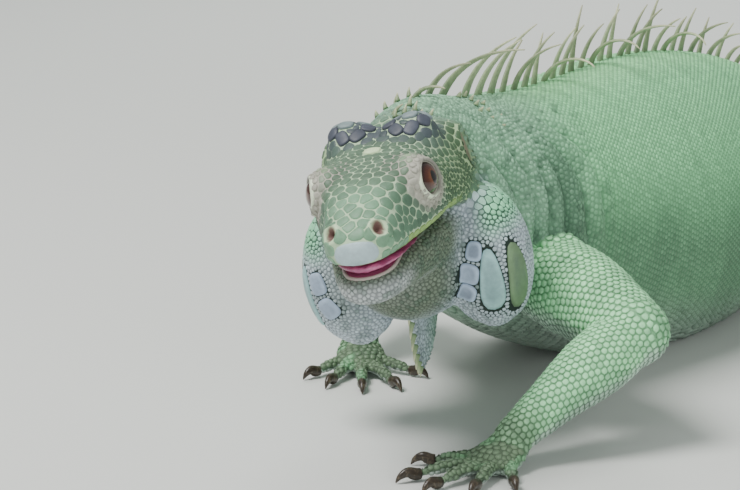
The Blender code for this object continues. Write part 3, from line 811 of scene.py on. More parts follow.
@dataclass
class Skin:
    """The one seamless skin: joined from smooth lofts, then worked like clay."""

    body: BodyAxis
    legs: list[Leg]
    voxel: float = 1.2
    head_voxel: float = 1.0
    coat: float = 0.7  # depth of the scales that stand on it
    fold_depth: float = 3.0
    lowest: float = 0.3  # height of the skin where it rests: its scales reach the floor
    lid_radius: float = 9.8
    eye_aim: tuple = (0.93, 0.30, 0.14)
    opening: tuple = (5.8, 5.3)  # half length and half height of the opening between the lids
    obj: bpy.types.Object = field(init=False)

    def head_shapes(self) -> Shape:
        """Makes the overlapping shapes of the head and its slack throat.

        Returns:
            The shapes together.
        """
        whole = Shape()
        for stations, squareness in ((SKULL_STATIONS, 2.35), (JAW_STATIONS, 2.3)):
            table = np.asarray(stations, float)
            rings = []
            for y in np.arange(table[0, 0], table[-1, 0] + 0.1, 1.25):
                half, roof, widest, floor = through(table, y)
                above, below = roof - widest - self.coat, widest - floor - self.coat * 0.4
                x, z = section(half - self.coat, above, below, squareness, 72).T
                ring = np.stack((x, np.full(72, y - self.coat * 0.5), z + widest), axis=1)
                rings.append(from_head(self.relieved(ring) if stations is SKULL_STATIONS else ring))
            whole.add(loft(rings))
        shrunk = [tuple(r - self.coat for r in radii) for radii in (THROAT_RADII, JOWL_RADII)]
        whole.add(ellipsoid(np.array(THROAT_CENTRE), shrunk[0]))
        for _, side in SIDES:
            whole.add(ellipsoid(mirrored(JOWL_CENTRE, side), shrunk[1]))
        whole.add(self.dewlap())
        return whole

    @staticmethod
    def relieved(points: Array) -> Array:
        """Pushes points of the skull out or in by each swelling or hollow.

        Args:
            points: Places in the head's frame.

        Returns:
            The moved places.
        """
        core = np.stack((points[:, 0] * 0, np.minimum(points[:, 1], 70.0), points[:, 1] * 0 + 8.0), axis=1)
        away = unit(points - core)
        push = np.zeros(len(points))
        for centre, radii, amount in HEAD_RELIEF:
            for side in (1, -1) if centre[0] else (1,):
                push += amount * bump(points, mirrored(centre, side), radii)
        return points + away * push[:, None]

    @staticmethod
    def dewlap_line(share: float) -> tuple[Array, float, Array]:
        """Lays out the dewlap.

        Args:
            share: The share of its length from the chin.

        Returns:
            Its top, its depth and its left direction there.
        """
        chin, chest = from_head((0, 26, -20)), np.array((3.0, -147.0, 55.0))
        left = unit(np.cross(unit(chest - chin), (0, 0, 1)))
        depth = 6 + (DEWLAP_DEPTH + 4) * math.sin(math.pi * share**1.2)
        return chin * (1 - share) + chest * share, depth, left

    def dewlap(self) -> Shape:
        """Makes the slack flap of skin under the throat, thin along its lower edge.

        Returns:
            The closed shape.
        """
        rings = []
        turns = circle(28)
        down = (1 - np.cos(turns)) / 2
        wide = np.sign(np.sin(turns)) * np.abs(np.sin(turns)) ** 0.35
        wide = wide * (2.3 - 1.3 * down + 8.0 * bell(down, 0.24))
        for share in np.linspace(0, 1, 30):
            top, depth, left = self.dewlap_line(share)
            fold = 1.2 * math.sin(3 * math.pi * share)
            rings.append(top - np.outer(depth * down, (0, 0, 1)) + np.outer(wide + fold * down, left))
        return loft(rings)

    def mouth_wedge(self) -> Shape:
        """Makes the wedge that the open mouth takes out of the head.

        Returns:
            The closed shape.
        """
        upper = [(y, top) for y, top, _ in LIP_STATIONS]
        lower = [(y, bottom) for y, _, bottom in LIP_STATIONS]
        profile = [*upper[::-1], *lower]
        return loft([from_head([(x, y, z) for y, z in profile]) for x in (-40.0, 40.0)])

    def cast(self) -> None:
        """Joins every shape of the body into one closed surface."""
        head = remeshed(self.head_shapes().made("head_cast"), self.head_voxel)
        wedge = self.mouth_wedge().made("wedge")
        step = head.modifiers.new("mouth", "BOOLEAN")
        step.operation, step.object, step.solver = "DIFFERENCE", wedge, "EXACT"
        applied(head)
        whole = Shape()
        whole.add(loft([self.body.ring(at, grow=-self.coat) for at in np.arange(-8, 1150.5, 3.0)]))
        for leg in self.legs:
            whole.add(leg.flesh(-self.coat))
        self.obj = whole.made("skin")
        with bpy.context.temp_override(active_object=self.obj, selected_editable_objects=[self.obj, head]):
            bpy.ops.object.join()
        bpy.data.objects.remove(wedge)
        remeshed(self.obj, self.voxel)

    def refine_head(self) -> None:
        """Splits the faces of the head, so that lids, nostrils and lips can be worked finely."""
        local = to_head(coordinates(self.obj.data))
        chosen = (local[:, 1] > -4) & (np.abs(local[:, 0]) < 47) & (local[:, 2] > -54)
        work = bmesh.new()
        work.from_mesh(self.obj.data)
        edges = [e for e in work.edges if chosen[e.verts[0].index] and chosen[e.verts[1].index]]
        bmesh.ops.subdivide_edges(work, edges=edges, cuts=1, use_grid_fill=True)
        work.to_mesh(self.obj.data)
        work.free()
        local = to_head(coordinates(self.obj.data))
        smoothed(self.obj, 3, weights=smooth(-6, 2, local[:, 1]))

    def ease_joins(self) -> None:
        """Evens the whole surface a little, and more where limbs and throat meet the body."""
        points = coordinates(self.obj.data)
        weight = np.zeros(len(points))
        for leg in self.legs:
            root, bend, _ = leg.at
            weight = np.maximum(weight, 1.4 * bump(points, root * 0.62 + bend * 0.38, 24.0))
            weight = np.maximum(weight, 0.5 * bump(points, leg.at[2], 10.0))
        weight = np.maximum(weight, bump(points, (0, -150, 62), (40.0, 20.0, 30.0)))
        nape = bump(points, from_head((0, -13, 16)), (30.0, 10.0, 16.0))
        nape = np.maximum(nape, bump(to_head(points), (0, 40, -21), (24.0, 30.0, 6.0)))
        smoothed(self.obj, 40, weights=np.maximum(weight, nape))
        smoothed(self.obj, 3)

    def eye_frame(self, side: float) -> tuple[Array, Array]:
        """Works out how an eyeball lies, in the head's frame.

        Args:
            side: 1 for the left eye and -1 for the right.

        Returns:
            Its centre and its (forward, up, outward) directions.
        """
        centre = mirrored(EYE_CENTRE, side)
        out = unit(mirrored(self.eye_aim, side))
        ahead = unit(np.array((0, 1.0, 0)) - out * out[1])
        return centre, np.array((ahead, np.cross(out, ahead) * side, out))

    def lid_edge(self, turn: Array) -> Array:
        """Draws the opening between the lids.

        Args:
            turn: Turns round the eye's axis, from the front.

        Returns:
            How far the edge is from the eye's axis, in degrees.
        """
        long, high = self.opening
        c, s = np.cos(turn), np.sin(turn)
        reach = (np.abs(c / long) ** 1.7 + np.abs(s / high) ** 1.9) ** (-1 / 1.8)
        return np.degrees(np.arcsin(np.clip(reach / EYE_RADIUS, 0, 0.98)))

    def sculpt_eye(self, local: Array, side: float) -> Array:
        """Wraps lids over an eyeball, leaving the opening between them.

        Args:
            local: The skin's points in the head's frame, which are moved.
            side: 1 for the left eye and -1 for the right.

        Returns:
            The moved points.
        """
        centre, frame = self.eye_frame(side)
        offset = local - centre
        distance = np.linalg.norm(offset, axis=1)
        near = np.nonzero(distance < 22)[0]
        eye = offset[near] @ frame.T
        away = np.degrees(np.arccos(np.clip(eye[:, 2] / distance[near], -1, 1)))
        turn = np.arctan2(eye[:, 1], eye[:, 0])
        edge = self.lid_edge(turn)
        past = away - edge
        wrinkle = 0.36 * np.sin(past * 0.52 + 1.3 * np.sin(turn * 2)) * smooth(3, 8, past)
        wrinkle = wrinkle * smooth(34, 20, past)
        lid = self.lid_radius + wrinkle + 0.35 * bell(past - 2.5, 2.5)
        lid -= 0.9 * bell(past - 15, 3.5) * smooth(-0.6, 0.4, np.sin(turn) + 0.3)
        sunk = EYE_RADIUS - 2.4
        target = sunk + (lid - sunk) * smooth(-5.0, 1.0, past)
        share = smooth(30, 12, past)
        radius = distance[near] * (1 - share) + target * share
        least = self.lid_radius - 0.2
        cover = np.logaddexp(radius * 3, least * 3) / 3
        radius = np.where(past > 0, cover * smooth(0, 6, past) + radius * (1 - smooth(0, 6, past)), radius)
        local[near] = centre + offset[near] * (radius / distance[near])[:, None]
        return local

    def sculpt_head(self, local: Array, facing: Array) -> Array:
        """Presses in the mouth's line and nostrils and raises small forms of the face.

        Args:
            local: The skin's points in the head's frame.
            facing: Their outward directions.

        Returns:
            The moved points.
        """
        x, y, z = local.T
        middle = lips(y).mean(-1)
        shut = smooth(86, 66, y) * smooth(24, 31, y) * (np.abs(x) > 6)
        push = -1.3 * bell(z - middle, 0.9) * shut
        push += 0.55 * bell(z - middle - 2.6, 1.6) * shut
        push += 0.45 * bell(z - middle + 2.6, 1.6) * shut
        for _, side in SIDES:
            away = np.linalg.norm(local - mirrored(NOSTRIL, side), axis=1)
            push += 1.2 * bell(away - 3.0, 1.1) - 3.4 * bell(away, 1.5)
            side_x = x * side
            corner = np.hypot(y - 27, z + 1.0)
            push += 0.9 * bell(corner - 5.5, 2.2) * (side_x > 12) * smooth(34, 26, y)
            for depth, place in ((-1.6, 0.0), (1.0, 4.5)):
                rim = np.hypot((y - JOWL_CENTRE[1]) / 21.0, (z - JOWL_CENTRE[2]) / 27.0) * 23 - 21.5 - place
                push += depth * 0.4 * bell(rim, 2.2) * (side_x > 14) * smooth(-2, -14, z)
        moved = local + facing * push[:, None]
        for _, side in SIDES:
            aim = unit(mirrored(EARDRUM_AIM, side))
            offset = moved - mirrored(EARDRUM_CENTRE, side)
            out = offset @ aim
            across = np.linalg.norm(offset - out[:, None] * aim, axis=1)
            level = -1.2 + 2.0 * bell(across - 8.2, 1.5)
            moved += aim * ((level - out) * smooth(17, 8.5, across) * (np.abs(out) < 12))[:, None]
        return moved

    @staticmethod
    def creases(at: Array, turn: Array) -> tuple[Array, Array]:
        """Folds the slack skin of the neck and shoulder.

        Args:
            at: Places along the body.
            turn: Turns round it, in radians.

        Returns:
            How deep the neck's creases are and how far the shoulder's skin stands out.
        """
        across = np.abs(turn)
        slack = smooth(0, 14, at) * smooth(92, 66, at) * smooth(0.35, 0.9, across) * smooth(2.9, 2.2, across)
        wander = 2.2 * np.sin(across * 2.3 + 0.6 + turn) + 1.2 * np.sin(across * 5.1 + at * 0.07)
        wander = wander + 2.0 * np.sin(at * 0.13)
        slant = at - 17 * across + wander
        # Rounded swellings with narrow creases between them.
        crease = 1 - 2 * np.abs(np.sin(slant * math.pi / 11.5)) ** 0.8
        crease *= 0.8 + 0.2 * np.sin(across * 1.7 + at * 0.11 + 2)
        belly = smooth(2.0, 2.5, across) * smooth(90, 120, at) * smooth(330, 290, at)
        armpit = 0.6 * smooth(58, 76, at) * smooth(112, 84, at) * smooth(0.9, 1.4, across)
        armpit = armpit * smooth(2.7, 2.2, across)
        return slack * crease, (belly * 0.15 + armpit * 0.7) * np.sin(slant * 2 * math.pi / 8.5)

    def build(self) -> bpy.types.Object:
        """Makes the skin and works it.

        Returns:
            Its object.
        """
        self.cast()
        self.ease_joins()
        self.refine_head()
        mesh = self.obj.data
        points, facing = coordinates(mesh), normals(mesh)
        local, turned = to_head(points), facing @ HEAD.T
        head = np.nonzero((local[:, 1] > -25) & (np.abs(local[:, 0]) < 60) & (np.abs(local[:, 2]) < 70))[0]
        part = self.sculpt_head(local[head], turned[head])
        for _, side in SIDES:
            part = self.sculpt_eye(part, side)
        worked = points.copy()
        worked[head] = from_head(part)
        trunk = np.nonzero((points[:, 1] > -185) & (points[:, 1] < 150))[0]
        at, turn, share = self.body.lookup(points[trunk])
        behind = smooth(6, -6, local[trunk, 1]) * smooth(1.35, 1.15, share)
        crease, armpit = self.creases(at, turn)
        worked[trunk] += facing[trunk] * ((armpit - self.fold_depth * crease) * behind)[:, None]
        worked[:, 2] = np.maximum(worked[:, 2], self.lowest)
        set_coordinates(mesh, worked)
        return smoothed(self.obj, 1)


# ---------------------------------------------------------------- where the skin is which part


@dataclass
class Chart:
    """What is known about places on the skin: region, place along it, turn round it and lie."""

    part: Array
    leg: Array
    at: Array
    turn: Array
    lie: Array
    local: Array  # in the head's frame

    def on(self, *parts: Part) -> Array:
        """Says which places are in any of the given regions."""
        return np.isin(self.part, [part.value for part in parts])

    def some(self, rows: Array) -> Chart:
        """Returns the chart of some of the places."""
        return Chart(*(getattr(self, column.name)[rows] for column in fields(self)))


@dataclass
class Atlas:
    """Tells the region of any place on the skin, and which way its scales lie."""

    body: BodyAxis
    legs: list[Leg]
    shoulder_bias: float = 2.5  # how far the trunk wins over an upper limb, in millimetres
    margin: float = 30.0  # how far from a bone its skin is looked for

    def chart(self, points: Array) -> Chart:
        """Works out what is known about places.

        Args:
            points: Places on the skin, in the model's frame.

        Returns:
            The chart, with one row for each place.
        """
        at, turn, share = self.body.lookup(points)
        tail = self.body.frames(np.clip(at, -8, 1149))[3]
        half = through(BODY_STATIONS, np.clip(at, -8, 1150))[:, 3:].mean(1)
        best = (share - 1) * half
        part = np.full(len(points), Part.BODY.value)
        leg = np.full(len(points), -1)
        lie, place, around = tail.copy(), at.copy(), turn.copy()
        local = to_head(points)
        _, y, z = local.T
        headed = (y > -13) & (points[:, 1] < -150) | (y > -3) & (y < 95)
        headed &= np.linalg.norm(local * (1, 0.6, 0.8), axis=1) < 75
        headed &= (y > 1) | (z < 8) & (best > 3) | (y > -9) & (np.abs(local[:, 0]) < 60)
        for number, bone in ((n, bone) for n, limb in enumerate(self.legs) for bone in limb.bones(n)):
            low, high = bone.path.min(0) - self.margin, bone.path.max(0) + self.margin
            near = np.nonzero(((points > low) & (points < high)).all(1))[0]
            if not len(near):
                continue
            gap, along, aim = bone.measure(points[near])
            bias = self.shoulder_bias if bone.part is Part.UPPER_LIMB else 0.0
            won = gap + bias < best[near]
            rows = near[won]
            best[rows] = gap[won] + bias
            part[rows], leg[rows], lie[rows] = bone.part.value, number, aim[won]
            place[rows], around[rows] = along[won], points[rows, 2]
        jowl = np.linalg.norm((folded(local) - JOWL_CENTRE) / JOWL_RADII, axis=1)
        face = headed & (leg < 0) | (jowl < 1.05)
        leg[face], part[face], lie[face] = -1, Part.HEAD.value, -HEAD[1]
        return Chart(part, leg, place, around, lie, local)


# ---------------------------------------------------------------- pigment


def linear(code: str) -> Array:
    """Turns an sRGB hex value such as "8fb79a" into a linear colour."""
    value = np.array([int(code[i : i + 2], 16) for i in (0, 2, 4)]) / 255
    return np.where(value <= 0.04045, value / 12.92, ((value + 0.055) / 1.055) ** 2.4)


@dataclass(frozen=True)
class Pigments:
    """The colours of the living skin, as sRGB hex values; flank, shade and nostril also hold painted shade,
    and under holds painted bounce light.
    """

    mint: str = "8bd69c"
    arm: str = "a4eab1"
    back: str = "98dc9e"
    # flank: the lower sides' own greyer green, darkened further as painted shade; the hind legs take some of
    # it too
    flank: str = "5d8868"
    belly: str = "8fa094"
    neck: str = "90ba9f"
    # shade: the skin's own dark mottle, speckle and bars, and also painted shade in the neck's creases and in
    # front of the shoulder
    shade: str = "44604f"
    paw: str = "636a58"
    # under: the limbs' pale underside, lightened further as painted bounce light
    under: str = "b0c0b8"
    tail: str = "7d9a83"
    band: str = "4f5a4a"
    crown: str = "5a735e"
    seam: str = "bcd6b2"
    snout: str = "78a182"
    rostral: str = "a9bdc2"
    cream: str = "d0e6b8"
    temple: str = "4a6547"
    temple_net: str = "aac698"
    dome: str = "474c58"
    dome_pale: str = "7c8c8e"
    lid: str = "aaa89c"
    lid_edge: str = "dce6cb"
    jaw: str = "6e7b69"
    jaw_lip: str = "b5aaa2"
    jowl: str = "a6b8cf"
    jowl_tall: str = "9cc3c4"
    olive: str = "6f8a68"
    throat: str = "c3d0da"
    lip: str = "8fae68"
    cheek: str = "84dba3"
    chin: str = "c8cdd2"
    mouth: str = "b65a80"
    # nostril: painted shade, dark brown at the bottom of each nostril's pit for the opening
    nostril: str = "6b4f4a"
    ink: str = "26332e"


@dataclass
class Markings:
    """Paints places on the skin, for the skin itself and for the scales on it alike."""

    pigments: Pigments = field(default_factory=Pigments)

    def tone(self, name: str) -> Array:
        """Returns a named pigment as a linear colour."""
        return linear(getattr(self.pigments, name))

    def layered(self, colour: Array, *layers: tuple[str, Array]) -> Array:
        """Lays pigments over colours, one after the other.

        Args:
            colour: The colours under them, or one for all places.
            layers: Each pigment's name and its amount at each place.

        Returns:
            The colours that show.
        """
        for name, amount in layers:
            colour = colour + (self.tone(name) - colour) * np.clip(amount, 0, 1)[:, None]
        return colour

    def body(self, points: Array, chart: Chart) -> Array:
        """Paints the neck, trunk and tail, with painted shade in the neck's creases, in front of the shoulder
        and on the lower sides.

        Args:
            points: Places in the model's frame.
            chart: What is known about them.

        Returns:
            Linear colours.
        """
        at, across = chart.at, np.abs(chart.turn)
        mottle = wave_noise(points, 22.0, 3) * 0.5 + wave_noise(points, 7.0, 5) * 0.5
        creases = Skin.creases(at, chart.turn)[0]
        # hollow: where painted shade darkens the groove in front of the shoulder
        hollow = bell(at - 54 - 5 * across, 11) * smooth(0.7, 1.2, across) * smooth(2.4, 1.8, across)
        speckle = smooth(0.5, 0.9, wave_noise(points * (1, 1, 0.45), 1.9, 71)) * smooth(120, 60, at)
        tail = smooth(320, 430, at)
        bands = 0.5 + 0.5 * np.sin((at + 8 * np.sin(across)) * 2 * math.pi / 74)
        bars = 0.5 + 0.5 * np.sin((at + 5 * wave_noise(points, 40.0, 9)) * 2 * math.pi / 58)
        bars = smooth(0.62, 0.95, bars) * smooth(100, 140, at)
        return self.layered(
            self.tone("mint"),
            ("back", smooth(0.5, 0.1, across) * 0.6),
            # painted shade: the lower sides take the darkened flank colour
            ("flank", smooth(1.05, 2.0, across) * 0.9),
            ("belly", smooth(2.1, 2.7, across)),
            ("neck", smooth(95, 40, at) * 0.8),
            # painted shade in the neck's creases
            ("shade", smooth(0.0, 0.8, creases) * 0.7),
            ("shade", smooth(0.1, 1.0, mottle) * (0.12 + 0.2 * smooth(90, 30, at))),
            # painted shade in the groove in front of the shoulder
            ("shade", hollow * 0.6),
            ("shade", speckle * 0.55),
            ("tail", tail * 0.75),
            ("band", tail * smooth(0.45, 0.75, bands) * 0.85),
            ("shade", bars * smooth(1.2, 2.0, across) * smooth(2.6, 2.2, across) * 0.22),
        )

    def limb(self, points: Array, chart: Chart, facing: Array) -> Array:
        """Paints the legs, from mint at the shoulder to brown-green toes, paler where they face down: their
        own pale underside, lightened further as painted bounce light.

        Args:
            points: Places in the model's frame.
            chart: What is known about them.
            facing: The skin's outward directions there.

        Returns:
            Linear colours.
        """
        foot, shin = chart.on(Part.SOLE, Part.DIGIT), chart.on(Part.LOWER_LIMB)
        blotch = smooth(0.1, 0.9, wave_noise(points, 9.0, 21))
        return self.layered(
            self.tone("arm"),
            ("flank", np.where(chart.leg >= 2, 0.45, 0.0)),
            ("paw", np.where(shin, smooth(0.7, 1.05, chart.at) * 0.7, 0.0)),
            ("paw", np.where(foot, 0.86, 0.0)),
            ("mint", np.where(foot, blotch * 0.4, 0.0)),
            # paler where the limb faces down: its own pale underside plus painted bounce light
            ("under", smooth(-0.1, -0.6, facing[:, 2]) * 0.8),
            ("shade", smooth(0.3, 1.0, wave_noise(points, 14.0, 17)) * 0.25),
        )

    def head(self, points: Array, chart: Chart) -> Array:
        """Paints the head, jaw and throat.

        Args:
            points: Places in the model's frame.
            chart: What is known about them.

        Returns:
            Linear colours.
        """
        local = folded(chart.local)
        side, y, z = local.T
        edge = lips(y).mean(-1)
        below = smooth(0.0, -1.5, z - edge)
        temple = smooth(18, 23, side) * smooth(44, 38, y) * smooth(-2, 4, z)
        loreal = smooth(8, 13, side) * smooth(50, 58, y) * smooth(84, 74, y) * smooth(19, 14, z)
        dome = bump(np.abs(chart.local), (9.0, 16.5, 29.0), (14.5, 12.5, 15.0))
        lip = smooth(5.5, 2.5, np.abs(z - edge)) * (z > edge) * smooth(25, 31, y)
        cheek = smooth(4, -5, z) * smooth(-20, -9, z) * smooth(25, 34, side)
        chin_front = smooth(60, 80, y) * smooth(-4, -10, z) * 0.75
        chin_under = smooth(-14, -19, z) * smooth(34, 50, y) * 0.35
        freckle = smooth(0.35, 0.8, wave_noise(points, 2.6, 57)) * below * smooth(12, 24, y)
        from_eye = local - EYE_CENTRE
        away = np.linalg.norm(from_eye, axis=1)
        outward = from_eye @ unit((0.93, 0.3, 0.1)) / np.maximum(away, 1)
        return self.layered(
            self.tone("crown"),
            ("snout", smooth(56, 72, y) * 0.85),
            ("temple", temple * 0.85),
            ("cream", bump(local, (17.5, 50.0, 27.5), (4.0, 9.0, 3.0)) * 0.7),
            ("shade", loreal * 0.55),
            ("dome", smooth(0.2, 0.55, dome) * 0.85),
            ("lip", lip * 0.7),
            ("jaw", below * smooth(20, 32, y)),
            ("throat", below * smooth(38, 18, y)),
            ("cheek", cheek * 0.85),
            ("chin", np.maximum(chin_front, chin_under)),
            ("shade", freckle * smooth(30, 24, side) * 0.5),
            ("neck", smooth(8, -12, y) * 0.8),
            ("shade", smooth(0.2, 1.1, wave_noise(points, 6.0, 31)) * 0.35),
            ("lid", smooth(13.5, 11.0, away) * smooth(0.25, 0.55, outward)),
        )

    def colour(self, points: Array, chart: Chart, facing: Array) -> Array:
        """Paints any places, each by its region.

        Args:
            points: Places in the model's frame.
            chart: What is known about them.
            facing: The skin's outward directions there.

        Returns:
            Linear colours.
        """
        found = self.body(points, chart)
        limb, face = chart.leg >= 0, chart.on(Part.HEAD)
        if limb.any():
            found[limb] = self.limb(points, chart, facing)[limb]
        if face.any():
            found[face] = self.head(points, chart)[face]
        return np.clip(found, 0.002, 0.95)

    def gaps(self, points: Array, chart: Chart, facing: Array) -> Array:
        """Paints the skin itself, which shows as the seams between the scales.

        Args:
            points: Places in the model's frame.
            chart: What is known about them.
            facing: The skin's outward directions there.

        Returns:
            Linear colours.
        """
        face = chart.on(Part.HEAD)
        found = self.colour(points, chart, facing)
        found = found * np.where(chart.on(Part.BODY), 0.74, 0.55)[:, None]
        side, y, z = folded(chart.local).T
        fresh = 0.85 * smooth(-12, 4, y)
        temple = (smooth(18, 23, side) * smooth(44, 38, y))[:, None]
        seam, net = (self.layered(found, (name, fresh)) for name in ("seam", "temple_net"))
        crown = (face & (z > lips(y).mean(-1)))[:, None]
        found = np.where(crown, seam * (1 - temple) + net * temple, found)
        cheek = smooth(2, -4, z) * smooth(-17, -11, z) * smooth(26, 32, side) * smooth(-6, 4, y)
        hole = from_pair(chart.local, NOSTRIL, (0.85, 0.8, 0.5))
        return self.layered(
            found,
            ("ink", face * cheek * 0.8),
            ("lid", face * smooth(14.0, 11.0, from_pair(chart.local, EYE_CENTRE))),
            ("cream", smooth(3.4, 2.6, hole) * 0.4),
            # painted shade at the bottom of the nostril's pit
            ("nostril", smooth(2.1, 1.3, hole)),
            ("mouth", face * self.in_mouth(chart.local)),
        )

    @staticmethod
    def in_mouth(local: Array) -> Array:
        """Tells places within the open mouth.

        Args:
            local: Places in the head's frame.

        Returns:
            1 within the mouth, less at the lips and 0 outside.
        """
        x, y, z = local.T
        top, low = lips(y).T
        half = through(JAW_STATIONS, np.clip(y, 8, 85))[:, 0]
        between = smooth(top + 1.8, top + 0.8, z) * smooth(low - 1.35, low - 0.75, z)
        return between * smooth(half - 1.0, half - 2.4, np.abs(x)) * smooth(84, 82.5, y) * (y > 50)


# ---------------------------------------------------------------- scales


@dataclass(frozen=True)
class ScaleForm:
    """How one kind of scale is shaped, from its edge inwards to its middle."""

    corners: int
    rings: tuple  # rows of (share of the reach, share of the height)
    height: float  # in millimetres for a scale of radius 1
    seam: float = 0.16  # millimetres left free between neighbours
    overlap: float = 0.0  # how far the rear reaches over the next scale, as a share
    tilt: float = 0.0  # rise towards the rear, per millimetre
    keel: float = 0.0
    rim: float = 0.8  # brightness of the edge over the middle
    round_off: float = 7.0
    draped: bool = False  # laid along the skin's own curve


class Kind(Enum):
    """The kinds of scale, by where they grow."""

    GRANULE = ScaleForm(6, ((1.0, -0.3), (0.8, 0.62)), 0.22, seam=0.1, rim=0.9)
    BELLY = ScaleForm(8, ((1.0, -0.3), (0.9, 0.6)), 0.20, seam=0.2, overlap=0.12, tilt=0.1, rim=0.86)
    TILE = ScaleForm(
        8,
        ((0.94, -0.35), (1.0, 0.35), (0.7, 0.92)),
        0.26,
        seam=0.14,
        overlap=0.22,
        tilt=0.16,
        keel=0.35,
        rim=0.62,
    )
    TAIL = ScaleForm(
        8,
        ((0.96, -0.35), (1.0, 0.3), (0.6, 0.85)),
        0.26,
        seam=0.12,
        overlap=0.30,
        tilt=0.14,
        keel=0.8,
        rim=0.7,
    )
    PLATE = ScaleForm(
        14,
        ((1.0, -0.35), (0.95, 0.45), (0.7, 0.9)),
        0.17,
        seam=0.3,
        rim=1.16,
        round_off=18.0,
        draped=True,
    )
    BEAD = ScaleForm(8, ((1.0, -0.35), (0.88, 0.6), (0.5, 1.0)), 0.3, seam=0.16, rim=0.82)


@dataclass(frozen=True)
class Shield:
    """One large plate of the head, placed in the head's frame and laid over the skin there."""

    centre: tuple
    half: tuple  # half its width and half its height
    colour: str
    turn: float = 0.0  # degrees round its middle
    square: float = 2.6
    taper: float = 0.0  # how much wider it is below than above
    dome: float = 0.8
    rim: float = 0.9
    ink: bool = False  # outlined by dark skin
    paired: bool = True
    up: tuple = (0.0, 0.0, 1.0)


def head_plates() -> list[Shield]:
    """Places the head's named plates: rostral, crown, bulges, lips and jowls.

    Returns:
        The plates.
    """
    crown = (0, -1, 0)
    plates = [
        Shield((0, 90, 5.5), (8.8, 4.9), "rostral", square=2.5, dome=0.5, rim=1.0, paired=False),
        Shield((0, 36.0, 27), (3.1, 2.4), "cream", dome=0.8, rim=1.05, paired=False, up=crown),
        Shield((11.1, 18.5, 42), (3.1, 2.9), "dome_pale", 0, 3.0, dome=0.9, rim=0.8, up=crown),
    ]
    for k in range(7):  # the plates round the middle one of each bulge
        turn = k / 7 * 2 * math.pi + 0.3
        spot = (11.1 + 8.2 * math.sin(turn), 18.5 + 8.6 * math.cos(turn), 32)
        size = (2.5 + 0.25 * math.sin(k * 2.6), 3.1 + 0.25 * math.cos(k * 3.1))
        tone = "dome_pale" if k in (2, 4) else "dome"
        plates.append(Shield(spot, size, tone, -math.degrees(turn), 3.0, dome=0.9, rim=0.8, up=crown))
    for k in range(-1, 12):  # plates along the upper lip
        y = 80.0 - k * 4.15
        spot = (float(through(SKULL_STATIONS, y)[0]), y, float(through(LIP_STATIONS, y)[0]) + 2.1)
        tone = "lip" if k > 2 else "snout"
        plates.append(Shield(spot, (1.95, 1.7 - 0.03 * k), tone, 0, 3.6, dome=0.42, rim=0.9))
    jowl = (
        ((25.6, 25.7, -19.5), (2.9, 3.7), "jowl", -16, 3.4, 0.1),
        ((22.0, 26.2, -27.3), (4.1, 3.9), "jowl", -24, 3.4, 0.12),
        ((19.3, 26.3, -35.0), (3.9, 3.7), "jowl", -34, 3.2, 0.1),
        ((29.6, 25.5, -31.7), (4.4, 13.0), "jowl_tall", -4, 2.7, 0.34),
        ((38.2, 19.0, -33.5), (4.9, 14.0), "olive", 2, 2.5, 0.12),
        ((-34.0, 23.8, -24.0), (3.7, 4.3), "jowl", 14, 3.4, 0.1),
        ((-31.6, 24.5, -33.6), (4.1, 4.3), "jowl", 28, 3.4, 0.1),
        ((-40.5, 17.0, -31.0), (4.4, 13.0), "jowl_tall", -4, 2.6, 0.34),
        ((-43.0, 5.0, -28.5), (4.9, 13.5), "olive", -2, 2.5, 0.12),
    )
    return plates + [Shield(*plate, dome=0.95, rim=0.94, ink=True, paired=False) for plate in jowl]


@dataclass
class LaidShield:
    """A plate with its place on the skin and its (across, along, outward) directions."""

    form: Shield
    centre: Array
    frame: Array

    def outline(self, turns: Array) -> Array:
        """Returns the plate's edge.

        Args:
            turns: Turns round its middle, in radians.

        Returns:
            Rows of (across, along), in millimetres.
        """
        a, b = self.form.half
        c, s = np.cos(turns), np.sin(turns)
        square = self.form.square
        reach = (np.abs(c / a) ** square + np.abs(s / b) ** square) ** (-1 / square)
        along = reach * s
        return np.stack((reach * c * (1 - self.form.taper * along / b), along), axis=1)

    def share(self, points: Array) -> Array:
        """Tells how far out places are on the plate.

        Args:
            points: Places in the model's frame.

        Returns:
            1 at the edge, less inside it and more outside.
        """
        across, along, out = ((points - self.centre) @ self.frame.T).T
        a, b = self.form.half
        across = across / np.maximum(1 - self.form.taper * np.clip(along / b, -1.2, 1.2), 0.2)
        square = self.form.square
        share = (np.abs(across / a) ** square + np.abs(along / b) ** square) ** (1 / square)
        return np.where(np.abs(out) < 7, share, 9.0)


@dataclass
class Growth:
    """Scales that are ready to be made: their places, sizes, outward directions and chart."""

    points: Array
    radius: Array
    facing: Array
    chart: Chart

    def __post_init__(self) -> None:
        """Works out each scale's own directions: along the lie of the coat, and across it."""
        lie, facing = self.chart.lie, self.facing
        self.along = unit(lie - facing * (lie * facing).sum(1, keepdims=True))
        self.across = np.cross(self.along, facing)


def tree_of(points: Array) -> KDTree:
    """Makes a tree for finding the nearest of many points.

    Args:
        points: The points.

    Returns:
        The balanced tree.
    """
    tree = KDTree(len(points))
    for i, p in enumerate(points):
        tree.insert(p, i)
    tree.balance()
    return tree


def domed_faces(rings: int, corners: int) -> Array:
    """Joins the points of a dome into triangles.

    Args:
        rings: How many rings it has, from its edge inwards, before the one point at its middle.
        corners: Points in each ring.

    Returns:
        Rows of three points' numbers.
    """
    k = np.arange(corners)
    n = (k + 1) % corners
    faces = []
    for a in range(0, (rings - 1) * corners, corners):
        b = a + corners
        faces += [np.stack((a + k, a + n, b + n), 1), np.stack((a + k, b + n, b + k), 1)]
    last = (rings - 1) * corners
    faces.append(np.stack((last + k, last + n, np.full(corners, last + corners)), 1))
    return np.concatenate(faces)


